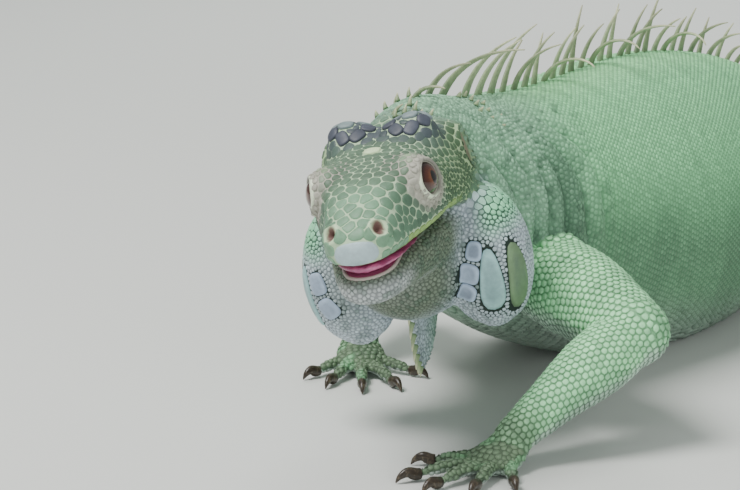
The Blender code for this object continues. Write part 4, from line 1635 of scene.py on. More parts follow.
def mesh_of(name: str, points: Array, triangles: Array, colours: Array, bake_map: Array) -> bpy.types.Object:
    """Makes a mesh object from arrays, with its pigment and its OFBake map.

    Args:
        name: The piece's name.
        points: Places in millimetres.
        triangles: Rows of three points' numbers.
        colours: A linear colour for each point.
        bake_map: A (u, v) for each point.

    Returns:
        The piece.
    """
    mesh = bpy.data.meshes.new(name)
    mesh.vertices.add(len(points))
    mesh.vertices.foreach_set("co", (points * MM).astype(np.float32).ravel())
    mesh.loops.add(triangles.size)
    mesh.loops.foreach_set("vertex_index", triangles.astype(np.int32).ravel())
    mesh.polygons.add(len(triangles))
    mesh.polygons.foreach_set("loop_start", np.arange(0, triangles.size, 3, dtype=np.int32))
    mesh.update(calc_edges=True)
    mesh.shade_smooth()
    paint(mesh, np.clip(colours, 0.001, 1))
    set_bake_map(mesh, bake_map)
    return linked(bpy.data.objects.new(name, mesh))


@dataclass
class Coat:
    """Grows the scales over the skin and makes their meshes."""

    skin: Skin
    atlas: Atlas
    markings: Markings
    seed: int = 11
    neck_end: float = 100.0  # places along the body where one piece of coat gives way to the next
    tail_start: float = 330.0
    rows_from: float = 58.0  # scales stand in rows between these places, and are scattered before them
    rows_to: float = 1146.0
    limb_scales: tuple = (1.38, 1.25)  # radius in the rows of the upper and the lower limb
    row_gap: float = 1.25  # least distance between scales in rows, in radii
    loose_gap: float = 1.62  # and between scattered ones
    plate_rim: tuple = (1.03, 1.06)  # how far round a large plate no scale is scattered, and none stands
    lowest: float = 0.9  # no scale is rooted nearer to the floor, where the belly rests

    def __post_init__(self) -> None:
        """Reads the finished skin once."""
        mesh = self.skin.obj.data
        self.rng = np.random.default_rng(self.seed)
        self.points, self.normal = coordinates(mesh), normals(mesh)
        mesh.calc_loop_triangles()
        corner = np.empty(len(mesh.loop_triangles) * 3, np.int32)
        mesh.loop_triangles.foreach_get("vertices", corner)
        self.surface = BVHTree.FromPolygons(self.points.tolist(), corner.reshape(-1, 3).tolist())
        self.skin_tree = tree_of(self.points)
        self.chart = self.atlas.chart(self.points)
        self.shields_laid = self.lay_shields()

    def outward(self, places: Array) -> Array:
        """Returns the skin's outward direction nearest to each place."""
        return np.array([self.normal[self.skin_tree.find(p)[1]] for p in places])

    def snapped(self, points: Array, within: float) -> tuple[Array, Array]:
        """Moves points to the nearest skin.

        Args:
            points: Places near the skin.
            within: How near they have to be.

        Returns:
            The moved points, and which were near enough.
        """
        moved, near = points.copy(), np.zeros(len(points), bool)
        for i, p in enumerate(points):
            hit = self.surface.find_nearest(p, within)
            if hit[0] is not None:
                moved[i], near[i] = hit[0], True
        return moved, near

    @staticmethod
    def reach(chart: Chart) -> Array:
        """Decides how large scales are.

        Args:
            chart: What is known about the places.

        Returns:
            The radius of a scale at each place.
        """
        at, across = chart.at, np.abs(chart.turn)
        radius = 0.85 + 0.25 * smooth(50, 110, at) + 0.9 * smooth(2.1, 2.7, across)
        radius = radius + 0.55 * smooth(320, 420, at) - 0.5 * smooth(700, 1100, at)
        limbs = (
            (Part.UPPER_LIMB, 1.38),
            (Part.LOWER_LIMB, 1.34 - 0.2 * at),
            (Part.SOLE, 1.15),
            (Part.DIGIT, 0.95),
        )
        for part, size in limbs:
            radius = np.where(chart.on(part), size, radius)
        side, y, z = folded(chart.local).T
        crown = smooth(9, 15, z) * smooth(24, 30, y) * smooth(19, 15, side)
        lip = 0.5 * smooth(44, 52, y) * smooth(0, 4, z) * (1 - crown)
        dome = 0.9 * smooth(31, 26, y) * smooth(14, 20, z) * smooth(-6, 0, y)
        ear = 0.8 * smooth(-12, -6, z) * smooth(6, 0, z) * smooth(-8, -2, y) * smooth(22, 16, y)
        head = 0.78 + 0.3 * smooth(-8, 0, z)
        head += crown * (0.5 + 0.75 * smooth(50, 62, y))
        head += 0.9 * smooth(70, 78, y) * smooth(3, 8, z) * (1 - crown) + lip
        head += dome
        head += ear * smooth(20, 26, side)
        head -= 0.4 * smooth(14.5, 12, from_pair(chart.local, EYE_CENTRE)) * smooth(10, 18, side)
        return np.where(chart.on(Part.HEAD), head, radius)

    def rows(self) -> Array:
        """Sets scales in even, staggered rows round the trunk, tail and limbs.

        Returns:
            Their places, snapped to the skin.
        """
        found = []
        at, number, depth = self.rows_from, 0, self.skin.coat
        while at < self.rows_to:
            ring = self.skin.body.ring(at, 120, -depth)
            radius = 1.08 + 0.6 * float(smooth(320, 420, at)) - 0.45 * float(smooth(700, 1100, at))
            found.append(self.around(ring, radius, number, 1.12 if at > self.tail_start else 1.0))
            at += radius * (1.75 if at < self.tail_start else 2.1)
            number += 1
        steps, count = 40, 48
        for leg in self.skin.legs:
            for path, radii, size in zip(leg.limb_paths(), leg.radii, self.limb_scales):
                whole = swept(path, radii, count, steps, grow=-depth)
                length = np.linalg.norm(np.diff(path, axis=0), axis=1).sum()
                rings = whole.points[: count * (steps + 1)].reshape(steps + 1, count, 3)
                for row, place in enumerate(np.arange(0.02, 1.0, size * 1.75 / length)):
                    i = place * steps
                    a = int(i)
                    ring = rings[a] * (1 - i + a) + rings[min(a + 1, steps)] * (i - a)
                    found.append(self.around(ring, size, row, 1.0))
        points, near = self.snapped(np.concatenate(found), 3.2)
        return points[near]

    @staticmethod
    def around(ring: Array, radius: float, number: int, stretch: float) -> Array:
        """Spaces one row of scales evenly round a closed ring.

        Args:
            ring: The ring's points.
            radius: The scales' radius.
            number: The row's number: every other row is shifted by half a scale.
            stretch: How much wider than even the spaces are.

        Returns:
            The scales' places.
        """
        closed = np.concatenate((ring, ring[:1]))
        length = along_path(closed)
        count = max(6, round(length[-1] / (2 * radius * stretch)))
        want = (np.arange(count) + 0.5 * (number % 2)) / count * length[-1]
        return np.stack([np.interp(want, length, closed[:, k]) for k in range(3)], axis=1)

    @staticmethod
    def thinned(points: Array, radius: Array, apart: float) -> Array:
        """Drops places that crowd others.

        Args:
            points: The places, those to be kept first.
            radius: The radius of a scale at each.
            apart: How many times its radius each needs to itself.

        Returns:
            The numbers of the places to keep.
        """
        tree, alive = tree_of(points), np.ones(len(points), bool)
        kept = []
        for i, point in enumerate(points):
            if alive[i]:
                kept.append(i)
                for _, j, _ in tree.find_range(point, apart * radius[i]):
                    alive[j] = False
        return np.array(kept)

    def lay_shields(self) -> list[LaidShield]:
        """Lays every large plate on the skin, on both sides where it is paired.

        Returns:
            The plates with their places and directions.
        """
        laid = []
        for form in head_plates():
            for side in (1, -1) if form.paired else (1,):
                spot = self.surface.find_nearest(from_head(mirrored(form.centre, side)))[0]
                out = np.zeros(3)
                for _, normal, _, _ in self.surface.find_nearest_range(spot, 3.0):
                    out += normal
                out = unit(out)
                up = np.array(form.up) @ HEAD
                up = unit(up - out * out.dot(up))
                right = np.cross(up, out)
                turn = math.radians(form.turn) * side
                across = right * math.cos(turn) + up * math.sin(turn)
                along = up * math.cos(turn) - right * math.sin(turn)
                laid.append(LaidShield(form, np.array(spot), np.array((across, along, out))))
        return laid

    def place(self) -> Growth:
        """Decides where every scale stands.

        Returns:
            The scales, none on the bare places or under the large plates.
        """
        fixed = self.rows()
        fixed = fixed[~self.atlas.chart(fixed).on(Part.HEAD)]
        fixed = fixed[self.thinned(fixed, self.reach(self.atlas.chart(fixed)), self.row_gap)]
        reach = self.reach(self.chart)
        covered = tree_of(fixed)
        free = np.array([covered.find(p)[2] > 1.5 * r for p, r in zip(self.points, reach)])
        face = self.chart.on(Part.HEAD)
        bare = face & self.hidden(self.chart.local)
        for shield in self.shields_laid:
            bare[face] |= shield.share(self.points[face]) < self.plate_rim[0]
        open_skin = np.nonzero(free & ~bare)[0]
        self.rng.shuffle(open_skin)
        kept = open_skin[self.thinned(self.points[open_skin], reach[open_skin], self.loose_gap)]
        points = np.concatenate((fixed, self.relaxed(self.points[kept], open_skin, reach)))
        for shield in self.shields_laid:
            points = points[shield.share(points) > self.plate_rim[1]]
        chart = self.atlas.chart(points)
        shown = ~(chart.on(Part.HEAD) & self.hidden(chart.local)) & (points[:, 2] > self.lowest)
        points = points[shown]
        chart = self.atlas.chart(points)
        return Growth(points, self.reach(chart), self.outward(points), chart)

    def hidden(self, local: Array) -> Array:
        """Finds the head's bare places: mouth, eyeballs, nostrils and eardrums.

        Args:
            local: Places in the head's frame.

        Returns:
            Which of them bear no scales.
        """
        away = Markings.in_mouth(local) > 0.5
        away |= from_pair(local, NOSTRIL) < 2.6
        away |= from_pair(local, EARDRUM_CENTRE) < EARDRUM_RADIUS + 0.6
        for _, side in SIDES:
            centre, frame = self.skin.eye_frame(side)
            toward = unit(local - centre) @ frame.T
            turn = np.arctan2(toward[:, 1], toward[:, 0])
            past = np.degrees(np.arccos(np.clip(toward[:, 2], -1, 1))) - self.skin.lid_edge(turn)
            rim = 3 + 6 * smooth(0.5, 1.0, np.cos(turn - 0.6))
            away |= (past < rim) & (np.linalg.norm(local - centre, axis=1) < 16)
        return away

    def relaxed(self, loose: Array, open_skin: Array, reach: Array) -> Array:
        """Evens out scattered places by moving each to the middle of the skin nearest to it.

        Args:
            loose: The scattered places.
            open_skin: The numbers of the skin's points that are free for them.
            reach: The radius of a scale at each point of the skin.

        Returns:
            The moved places.
        """
        area = self.points[open_skin]
        weight = reach[open_skin] ** -3
        for _ in range(3):
            tree = tree_of(loose)
            owner = np.fromiter((tree.find(p)[1] for p in area), int, len(area))
            total = np.bincount(owner, weight, len(loose))
            moved = [np.bincount(owner, weight * area[:, k], len(loose)) for k in range(3)]
            moved = np.stack(moved, axis=1) / np.maximum(total, 1e-9)[:, None]
            loose = np.where(total[:, None] > 0, moved, loose)
        return self.snapped(loose, 6.0)[0]

    def neighbours(self, growth: Growth) -> tuple[Array, Array, Array]:
        """Finds, for each scale, where its neighbours lie in its own plane and how the gap is shared.

        Args:
            growth: The scales.

        Returns:
            Angles, distances and each one's share of the distance, one row for each scale.
        """
        turns = circle(44)
        ghosts = [s.centre + s.outline(turns) * 0.94 @ s.frame[:2] for s in self.shields_laid]
        ghosts, _ = self.snapped(np.concatenate(ghosts), 6.0)
        places = np.concatenate((growth.points, ghosts))
        sizes = np.concatenate((growth.radius, np.full(len(ghosts), 0.25)))
        tree = tree_of(places)
        near = np.array([[j for _, j, _ in tree.find_n(p, 11)][1:] for p in growth.points])
        offset = places[near] - growth.points[:, None]
        x = np.einsum("ijk,ik->ij", offset, growth.across)
        y = np.einsum("ijk,ik->ij", offset, growth.along)
        share = growth.radius[:, None] / (growth.radius[:, None] + sizes[near])
        return np.arctan2(y, x), np.linalg.norm(offset, axis=2), share

    def unwrap(self, points: Array, facing: Array, chart: Chart) -> Array:
        """Lays places out on a flat unwrap of the skin, stretched to fill the map of one piece.

        Args:
            points: The roots of the piece's scales.
            facing: The skin's outward directions there.
            chart: What is known about them.

        Returns:
            Their (u, v).
        """
        x, y, z = chart.local.T
        across = chart.turn / (2 * math.pi) + 0.5
        found = np.stack((np.clip((chart.at + 8) / 1160, 0, 1), across), axis=1)
        face = chart.on(Part.HEAD)
        found[face, 0] = np.clip((y[face] + 25) / 118, 0, 1)
        found[face, 1] = np.arctan2(x[face], z[face] + 6) / (2 * math.pi) + 0.5
        limbs = chart.on(Part.UPPER_LIMB, Part.LOWER_LIMB)
        for number, leg in enumerate(self.skin.legs):
            mine, column = chart.leg == number, number % 2 * 0.5
            limb, foot = mine & limbs, mine & ~limbs
            aside = np.cross(chart.lie[limb], (0, 0, 1))
            swing = np.arctan2((facing[limb] * aside).sum(1), facing[limb, 2])
            lower = (chart.part[limb] == Part.LOWER_LIMB.value) * 0.25
            found[limb, 0] = column + lower + np.clip(chart.at[limb], 0, 1) * 0.24
            found[limb, 1] = swing / (2 * math.pi) + 0.5
            flat = points[foot] - leg.at[2]
            sole = (facing[foot, 2] < 0) * 0.25
            found[foot, 0] = column + sole + np.clip((flat @ leg.forward + 20) / 100, 0, 1) * 0.24
            found[foot, 1] = np.clip((flat @ np.cross(leg.forward, (0, 0, 1)) + 50) / 100, 0, 1)
        low, high = found.min(0), found.max(0)
        return 0.01 + 0.98 * (found - low) / np.maximum(high - low, 1e-6)

    def edges(self, growth: Growth, rows: Array, form: ScaleForm, turns: Array) -> Array:
        """Shapes the edge of each scale by the neighbours that it meets.

        Args:
            growth: All scales.
            rows: Which of them are wanted.
            form: Their form.
            turns: Turns round the scale, in radians.

        Returns:
            The edge's distance from the middle, one row for each scale.
        """
        angle, distance, share = (part[rows] for part in self.around_each)
        half = np.maximum(distance * share - form.seam / 2, 0.15)
        toward = np.cos(turns[None, :, None] - angle[:, None, :])
        edge = np.where(toward > 0.1, half[:, None, :] / np.maximum(toward, 0.1), 50.0)
        power, most = form.round_off, growth.radius[rows][:, None] * 1.3
        edge = ((edge**-power).sum(2) + most**-power) ** (-1 / power)
        return edge * (1 + form.overlap * np.maximum(np.sin(turns), 0))

    def scales(self, name: str, growth: Growth, rows: Array, kind: Kind) -> bpy.types.Object:
        """Makes one joined mesh of scales.

        Args:
            name: The piece's name.
            growth: All scales.
            rows: Which of them this piece holds.
            kind: Their form.

        Returns:
            The piece.
        """
        form = kind.value
        count, rings = len(rows), len(form.rings)
        turns = circle(form.corners)
        edge = self.edges(growth, rows, form, turns)
        size = growth.radius[rows]
        high = form.height * size * (1 + 0.15 * self.rng.normal(size=count))
        root, facing, chart = growth.points[rows], growth.facing[rows], growth.chart.some(rows)
        across, along = growth.across[rows], growth.along[rows]
        patch = self.unwrap(root, facing, chart)
        places, tones, maps = [], [], []
        for step, (part, lift) in enumerate((*form.rings, (0.0, 1.0))):
            reach = edge * part if part else edge[:, :1] * 0
            around = turns if part else turns[:1]
            x, y = reach * np.cos(around), reach * np.sin(around)
            rise = high[:, None] * lift
            rise = rise + (form.tilt * (y + size[:, None] * 0.5) if lift > 0 else -0.06)
            if lift > 0.5 and form.keel:
                rise = rise + form.keel * high[:, None] * bell(x, 0.3 * size[:, None]) * 0.6
            spot = root[:, None] + across[:, None] * x[..., None] + along[:, None] * y[..., None]
            out = np.repeat(facing[:, None], spot.shape[1], axis=1)
            if form.draped:
                spot, out = self.draped(spot.reshape(-1, 3), out.reshape(-1, 3), spot.shape)
            places.append(spot + out * rise[..., None])
            tone = form.rim if step < rings - 1 else 1.0
            tones.append(np.full(x.shape, tone if lift > 0 else form.rim * 0.8))
            patch_ring = np.stack((np.cos(around), np.sin(around)), axis=1) * 0.0015 * part
            maps.append(patch[:, None] + patch_ring)
        grid = np.concatenate(places, axis=1)
        grid[..., 2] = np.maximum(grid[..., 2], 0.05)
        first = np.arange(count)[:, None, None] * grid.shape[1]
        triangles = (domed_faces(rings, form.corners) + first).reshape(-1, 3)
        shade = 1 + 0.09 * self.rng.normal(size=(count, 1))
        tint = self.markings.colour(root, chart, facing) * shade
        colours = tint[:, None] * np.concatenate(tones, axis=1)[..., None]
        bake_map = np.concatenate(maps, axis=1)
        return mesh_of(name, *(a.reshape(-1, a.shape[-1]) for a in (grid, triangles, colours, bake_map)))

    def draped(self, flat: Array, out: Array, shape: tuple) -> tuple[Array, Array]:
        """Lays flat places on the skin, and turns their outward directions with it.

        Args:
            flat: The places, which are moved.
            out: The outward direction at each, which is turned.
            shape: The shape that the results take.

        Returns:
            The moved places and the turned directions.
        """
        for i, place in enumerate(flat):
            spot, normal, _, _ = self.surface.find_nearest(place)
            flat[i], out[i] = spot, unit(np.array(normal) + out[i] * 1.2)
        return flat.reshape(shape), out.reshape(shape)

    def shields(self) -> bpy.types.Object:
        """Makes the large plates of the head, each draped over the skin under it.

        Returns:
            The piece.
        """
        rings = ((1.0, -0.25), (0.985, 0.35), (0.93, 0.72), (0.8, 0.92), (0.5, 1.02))
        corners, top, columns = 36, 1.04, 11
        turns, pattern = circle(corners), domed_faces(len(rings), corners)
        lifts = np.concatenate([np.full(corners, lift) for _, lift in rings] + [[top]])
        points, triangles, colours, maps = [], [], [], []
        for number, shield in enumerate(self.shields_laid):
            form, edge = shield.form, shield.outline(turns)
            grid = np.concatenate([edge * part for part, _ in rings] + [np.zeros((1, 2))])
            flat = shield.centre + grid @ shield.frame[:2]
            flat, out = self.draped(flat, np.tile(shield.frame[2], (len(flat), 1)), flat.shape)
            flat = flat + out * (form.dome * lifts)[:, None]
            blotch = wave_noise(flat, 7.0, 40 + number)
            tint = self.markings.tone(form.colour)
            if form.ink:
                tint = self.markings.layered(tint, ("dome", smooth(0.95, 1.04, lifts) * 0.3 * (1 + blotch)))
            tone = np.where(lifts < 0.8, form.rim, 1.0) * (1 + 0.12 * blotch) * np.where(lifts < 0, 0.5, 1.0)
            corner = (0.04 + 0.092 * (number % columns), 0.06 + 0.12 * (number // columns))
            triangles.append(pattern + number * len(flat))
            points.append(flat)
            colours.append(tint * tone[:, None])
            maps.append(np.array(corner) + 0.03 * grid / max(form.half))
        faces, places = np.concatenate(triangles), np.concatenate(points)
        faces = self.turned_out(places, faces)
        return mesh_of("head_shields", places, faces, np.concatenate(colours), np.concatenate(maps))

    def turned_out(self, points: Array, faces: Array) -> Array:
        """Turns faces that look inwards, judged by the skin nearest to each.

        Args:
            points: The mesh's points.
            faces: Rows of three points' numbers.

        Returns:
            The faces, all looking outwards.
        """
        corner = points[faces]
        normal = np.cross(corner[:, 1] - corner[:, 0], corner[:, 2] - corner[:, 0])
        wrong = (normal * self.outward(corner.mean(1))).sum(1) < 0
        return np.where(wrong[:, None], faces[:, ::-1], faces)

    def skin_colours(self) -> Array:
        """Paints the skin between the scales, inked round the jowls' plates.

        Returns:
            A linear colour for each point of the skin.
        """
        colour = self.markings.gaps(self.points, self.chart, self.normal)
        near = np.nonzero(self.chart.on(Part.HEAD))[0]
        for shield in self.shields_laid:
            if shield.form.ink:
                share = shield.share(self.points[near])
                past = np.where(share < 9, 1 + (share - 1) * min(shield.form.half) / 3.6, 9)
                colour[near] = self.markings.layered(colour[near], ("ink", smooth(1.42, 1.16, past)))
        return colour

    def grow(self) -> list[bpy.types.Object]:
        """Grows the whole coat.

        Returns:
            Its pieces.
        """
        growth = self.place()
        self.around_each = self.neighbours(growth)
        chart = growth.chart
        at, low = chart.at, chart.local[:, 2] <= -8
        limb, foot = chart.on(Part.UPPER_LIMB, Part.LOWER_LIMB), chart.on(Part.SOLE, Part.DIGIT)
        face, body, fore = chart.on(Part.HEAD), chart.on(Part.BODY), chart.leg < 2
        tail = body & (at > self.tail_start)
        belly = body & ~tail & (np.abs(chart.turn) > 2.25)
        neck = body & (at <= self.neck_end) & ~belly
        flank = body & ~(tail | belly | neck)
        plates = face & (growth.radius > 1.25)
        groups = (
            ("scales_crown", plates, Kind.PLATE),
            ("scales_face", face & ~plates & ~low, Kind.BEAD),
            ("scales_throat", face & ~plates & low, Kind.BEAD),
            ("scales_neck", neck, Kind.GRANULE),
            ("scales_flank_left", flank & (chart.turn > 0), Kind.GRANULE),
            ("scales_flank_right", flank & (chart.turn <= 0), Kind.GRANULE),
            ("scales_belly", belly, Kind.BELLY),
            ("scales_tail", tail, Kind.TAIL),
            ("scales_forelegs", limb & fore, Kind.TILE),
            ("scales_hindlegs", limb & ~fore, Kind.TILE),
            ("scales_feet", foot, Kind.BELLY),
        )
        pieces = [self.scales(name, growth, np.nonzero(rows)[0], kind) for name, rows, kind in groups]
        return [*pieces, self.shields()]


# ---------------------------------------------------------------- crest, claws, eyes, ears and mouth


@dataclass
class Crest:
    """The row of soft horny spines down the back."""

    body: BodyAxis
    thick: float = 1.7
    corners: int = 12
    steps: int = 14
    nape_spikes: int = 46
    dewlap_spikes: int = 9
    colours: tuple = ("68805f", "879873", "c3c4a2")  # from the root to the tip

    def ridge_cuts(self) -> tuple:
        """Finds where the solid model's cuts cross the back.

        Returns:
            Their places along the body.
        """
        for at in np.arange(0, 60, 0.5):
            if to_head(self.body.ring(at, 16)[0])[1] < -SKULL_CUT:
                return (float(at), *CUTS)
        return CUTS

    def places(self) -> list[float]:
        """Spaces the spines along the back, clear of the cuts.

        Returns:
            Their places along the body.
        """
        places = [CREST_START]
        cuts = self.ridge_cuts()
        while places[-1] < CREST_END:
            share = np.clip((places[-1] - 250) / 200, 0, 1)
            place = places[-1] + SPINE_GAP_NEAR + share * (SPINE_GAP_FAR - SPINE_GAP_NEAR)
            for cut in cuts:
                if abs(place - cut) < CREST_CLEAR:
                    place = cut + CREST_CLEAR
            places.append(place)
        return places

    def spine(self, number: int, at: float) -> tuple[Shape, Array]:
        """Makes one spine, flat from side to side and bent back and a little to one side.

        Args:
            number: Which spine it is, from the nape.
            at: Its place along the back.

        Returns:
            The shape, and how far up the spine each of its points is, from 0 to 1.
        """
        height = float(through(CREST_STATIONS, at)[0]) * (1 + 0.14 * math.sin(number * 2.4))
        ring = self.body.ring(at, 16)
        ahead = unit(self.body.ring(at + 2, 16)[0] - self.body.ring(at - 2, 16)[0])
        left = unit(np.cross(ahead, (0, 0, 1)))
        up = np.cross(left, ahead)
        nape = math.exp(-(((at - 12) / 26) ** 2))
        limp = max(0.0, math.sin(number * 2.4 + 0.5)) ** 4 * (1 if number % 5 else -0.7)
        droop = 12 + 18 * math.sin(number * 1.7) + 128 * limp * (1 - nape)
        droop = math.radians(droop * min(height / 24, 1) + (NAPE_DROOP + 40 * math.sin(number * 1.9)) * nape)
        base = 1.35 + height * 0.022
        lean = math.radians(SPINE_LEAN + 16 * math.sin(number * 3.1) + 26 * nape)
        centre = ring[0] - up * 2.5 + left * 0.2
        rings, shares = [], []
        turns = circle(self.corners)
        for k in range(self.steps + 1):
            share = k / self.steps
            turn = lean * (0.3 + 1.1 * share)
            grow = ahead * math.sin(turn) + up * math.cos(turn)
            grow = unit(grow * math.cos(droop * share) + left * math.sin(droop * share))
            if k:
                centre = centre + grow * (height + 2.5) / self.steps
            along = unit(np.cross(grow, np.cross(ahead, grow)))
            across = np.cross(grow, along)
            long = base * (1 - share) ** 0.85 + 0.24
            wide = self.thick / 2 * (1 - share) ** 0.8 + 0.22
            wave = 1 + 0.05 * math.sin(share * 26 + number)
            ring = np.outer(np.cos(turns) * long * wave, along) + np.outer(np.sin(turns) * wide, across)
            rings.append(centre + ring)
            shares += [share] * self.corners
        return loft(rings), np.array([*shares, 0.0, 1.0])

    @staticmethod
    def spike(root: Array, out: Array, back: Array, height: float, base: float) -> tuple[Shape, Array]:
        """Makes one small soft spike that bends back.

        Args:
            root: Its place on the skin.
            out: The direction it stands in.
            back: The direction it bends to.
            height: Its height.
            base: Its radius at the root.

        Returns:
            The shape, and how far up the spike each of its points is.
        """
        turns = circle(10)
        across = unit(np.cross(out, back))
        ahead = unit(np.cross(across, out))
        rings, shares = [], []
        for share in np.linspace(0, 1, 6):
            centre = root + out * (height * share - 0.6) + back * (0.5 * height * share**2)
            radius = base * (1 - share) ** 0.8 + 0.12
            ring = np.outer(np.cos(turns) * radius, across) + np.outer(np.sin(turns) * radius, ahead)
            rings.append(centre + ring)
            shares += [share] * 10
        return loft(rings), np.array([*shares, 0.0, 1.0])

    def small_spikes(self) -> list[tuple[Shape, Array]]:
        """Makes the spikes scattered on the nape and those down the dewlap's front edge.

        Returns:
            Each with how far up it each of its points is.
        """
        found = []
        for k in range(self.nape_spikes):
            at = -7 + 48 * (k * 0.7549 % 1)
            ring = self.body.ring(at, 120)
            turn = (2.5 + 17 * (k * 0.5698 % 1)) * (1 if k % 4 < 2 else -1)
            centre, _, _, tail = self.body.frames(at)
            root = ring[int(turn) % 120]
            height = (4.6 - 0.16 * abs(turn)) * (1 - 0.4 * smooth(15, 37, at)) * (0.8 + 0.4 * (k * 0.83 % 1))
            found.append(self.spike(root, unit(root - centre), tail, float(height), 0.95))
        for k in range(self.dewlap_spikes):
            top, depth, _ = Skin.dewlap_line(0.06 + 0.055 * k)
            after = Skin.dewlap_line(0.07 + 0.055 * k)
            edge, ahead = top - (0, 0, depth), unit(after[0] - (0, 0, after[1]) - top + (0, 0, depth))
            out = unit(np.cross(np.cross((0, 0, -1), ahead), -ahead) - (0, 0, 0.2))
            found.append(self.spike(edge + (0, 0, 0.8), out, ahead, 3.4 + 1.6 * math.sin(k * 0.4), 1.1))
        return found

    def build(self) -> bpy.types.Object:
        """Makes the crest, olive at the root and pale at the tips.

        Returns:
            The piece.
        """
        whole, shares, tint = Shape(), [], []
        for shape, share in self.small_spikes():
            whole.add(shape)
            shares.append(share)
            tint.append(np.full(len(share), 1.1))
        for number, at in enumerate(self.places()):
            shape, share = self.spine(number, at)
            whole.add(shape)
            shares.append(share)
            tint.append(np.full(len(share), 1 + 0.16 * math.sin(number * 5.3)))
        share = np.concatenate(shares)[:, None]
        root, middle, tip = (linear(code) for code in self.colours)
        colour = root + (middle - root) * smooth(0, 0.35, share) + (tip - middle) * smooth(0.45, 1.0, share)
        obj = whole.made("crest")
        paint(obj.data, colour * np.concatenate(tint)[:, None])
        return obj


@dataclass
class Eye:
    """One eyeball with its lids' moist edges; its own Z axis points out of the head."""

    side: float
    skin: Skin
    rim: float = 0.34

    def placed(self, obj: bpy.types.Object) -> None:
        """Sets an object made round the eye's centre into the head.

        Args:
            obj: The object.
        """
        centre, frame = self.skin.eye_frame(self.side)
        axes = (frame @ HEAD).T
        if np.linalg.det(axes) < 0:
            axes[:, 1] *= -1
        turn = Matrix(axes.tolist()).to_4x4()
        obj.matrix_world = Matrix.Translation(Vector(from_head(centre) * MM)) @ turn

    def ball(self, name: str) -> bpy.types.Object:
        """Makes the eyeball, which bulges a little over the iris.

        Args:
            name: The piece's name.

        Returns:
            The piece.
        """
        rings = []
        turns = circle(64)
        for tilt in np.linspace(0.02, math.pi - 0.02, 48):
            radius = EYE_RADIUS + 0.55 * math.exp(-((tilt / 0.62) ** 4)) - 0.05
            wide = radius * math.sin(tilt)
            level = np.full(64, radius * math.cos(tilt))
            rings.append(np.stack((np.cos(turns) * wide, np.sin(turns) * wide, level), 1))
        obj = loft(rings).made(name)
        self.placed(obj)
        return obj

    def edges(self, name: str, markings: Markings) -> bpy.types.Object:
        """Makes the thickened rim of the lids round the opening.

        Args:
            name: The piece's name.
            markings: The colours of the skin.

        Returns:
            The piece.
        """
        turns = circle(96)
        size = self.rim * (1.0 + 1.9 * smooth(0.4, 1.0, np.cos(turns - 0.6)))[:, None]
        edge = np.radians(self.skin.lid_edge(turns) - 1.5) + size[:, 0] / EYE_RADIUS
        out = np.stack((np.sin(edge) * np.cos(turns), np.sin(edge) * np.sin(turns), np.cos(edge)), 1)
        path = out * (EYE_RADIUS + 0.85)
        ahead = unit(np.roll(path, -1, 0) - np.roll(path, 1, 0))
        aside = np.cross(ahead, out)
        corners, rows = 10, len(turns)
        rings = [path + out * math.cos(a) * 0.62 + aside * math.sin(a) * size for a in circle(corners)]
        faces = []
        for i in range(rows):
            here, there = i * corners, (i + 1) % rows * corners
            for k in range(corners):
                n = (k + 1) % corners
                faces.append((here + k, here + n, there + n, there + k))
        obj = Shape(np.stack(rings, 1).reshape(-1, 3), faces).made(name)
        pale, pink = markings.tone("lid_edge"), markings.tone("lid") * 0.6
        amount = smooth(0.1, 0.7, np.cos(turns - 0.6))
        colour = pink + (pale - pink) * amount[:, None]
        paint(obj.data, np.repeat(colour, corners, axis=0))
        self.placed(obj)
        return obj


@dataclass
class Mouth:
    """What shows in the open mouth."""

    corners: int = 40

    def tongue(self) -> bpy.types.Object:
        """Makes the broad fleshy tongue, with a shallow groove down its middle.

        Returns:
            The piece.
        """
        rings = []
        turns = circle(self.corners)
        for y in np.linspace(56, 81.2, 34):
            top, low = through(LIP_STATIONS, y) + (-0.5, 0.3)
            end = math.sqrt(max(1 - ((y - 66) / 15.6) ** 4, 0.02))
            half_width = (float(through(JAW_STATIONS, y)[0]) - 2.6) * end
            middle, half = (low + top) / 2, max((top - low) / 2 * (0.4 + 0.6 * end), 0.25)
            x, z = section(half_width, half, half, 2.3, self.corners).T
            groove = 0.5 * bell(x, 1.6) * (np.cos(turns) > 0)
            ripple = 0.14 * np.sin(x * 1.9) * math.sin(y * 1.3)
            rings.append(from_head(np.stack((x, np.full(self.corners, y), z + middle - groove + ripple), 1)))
        return loft(rings).made("tongue_flesh")


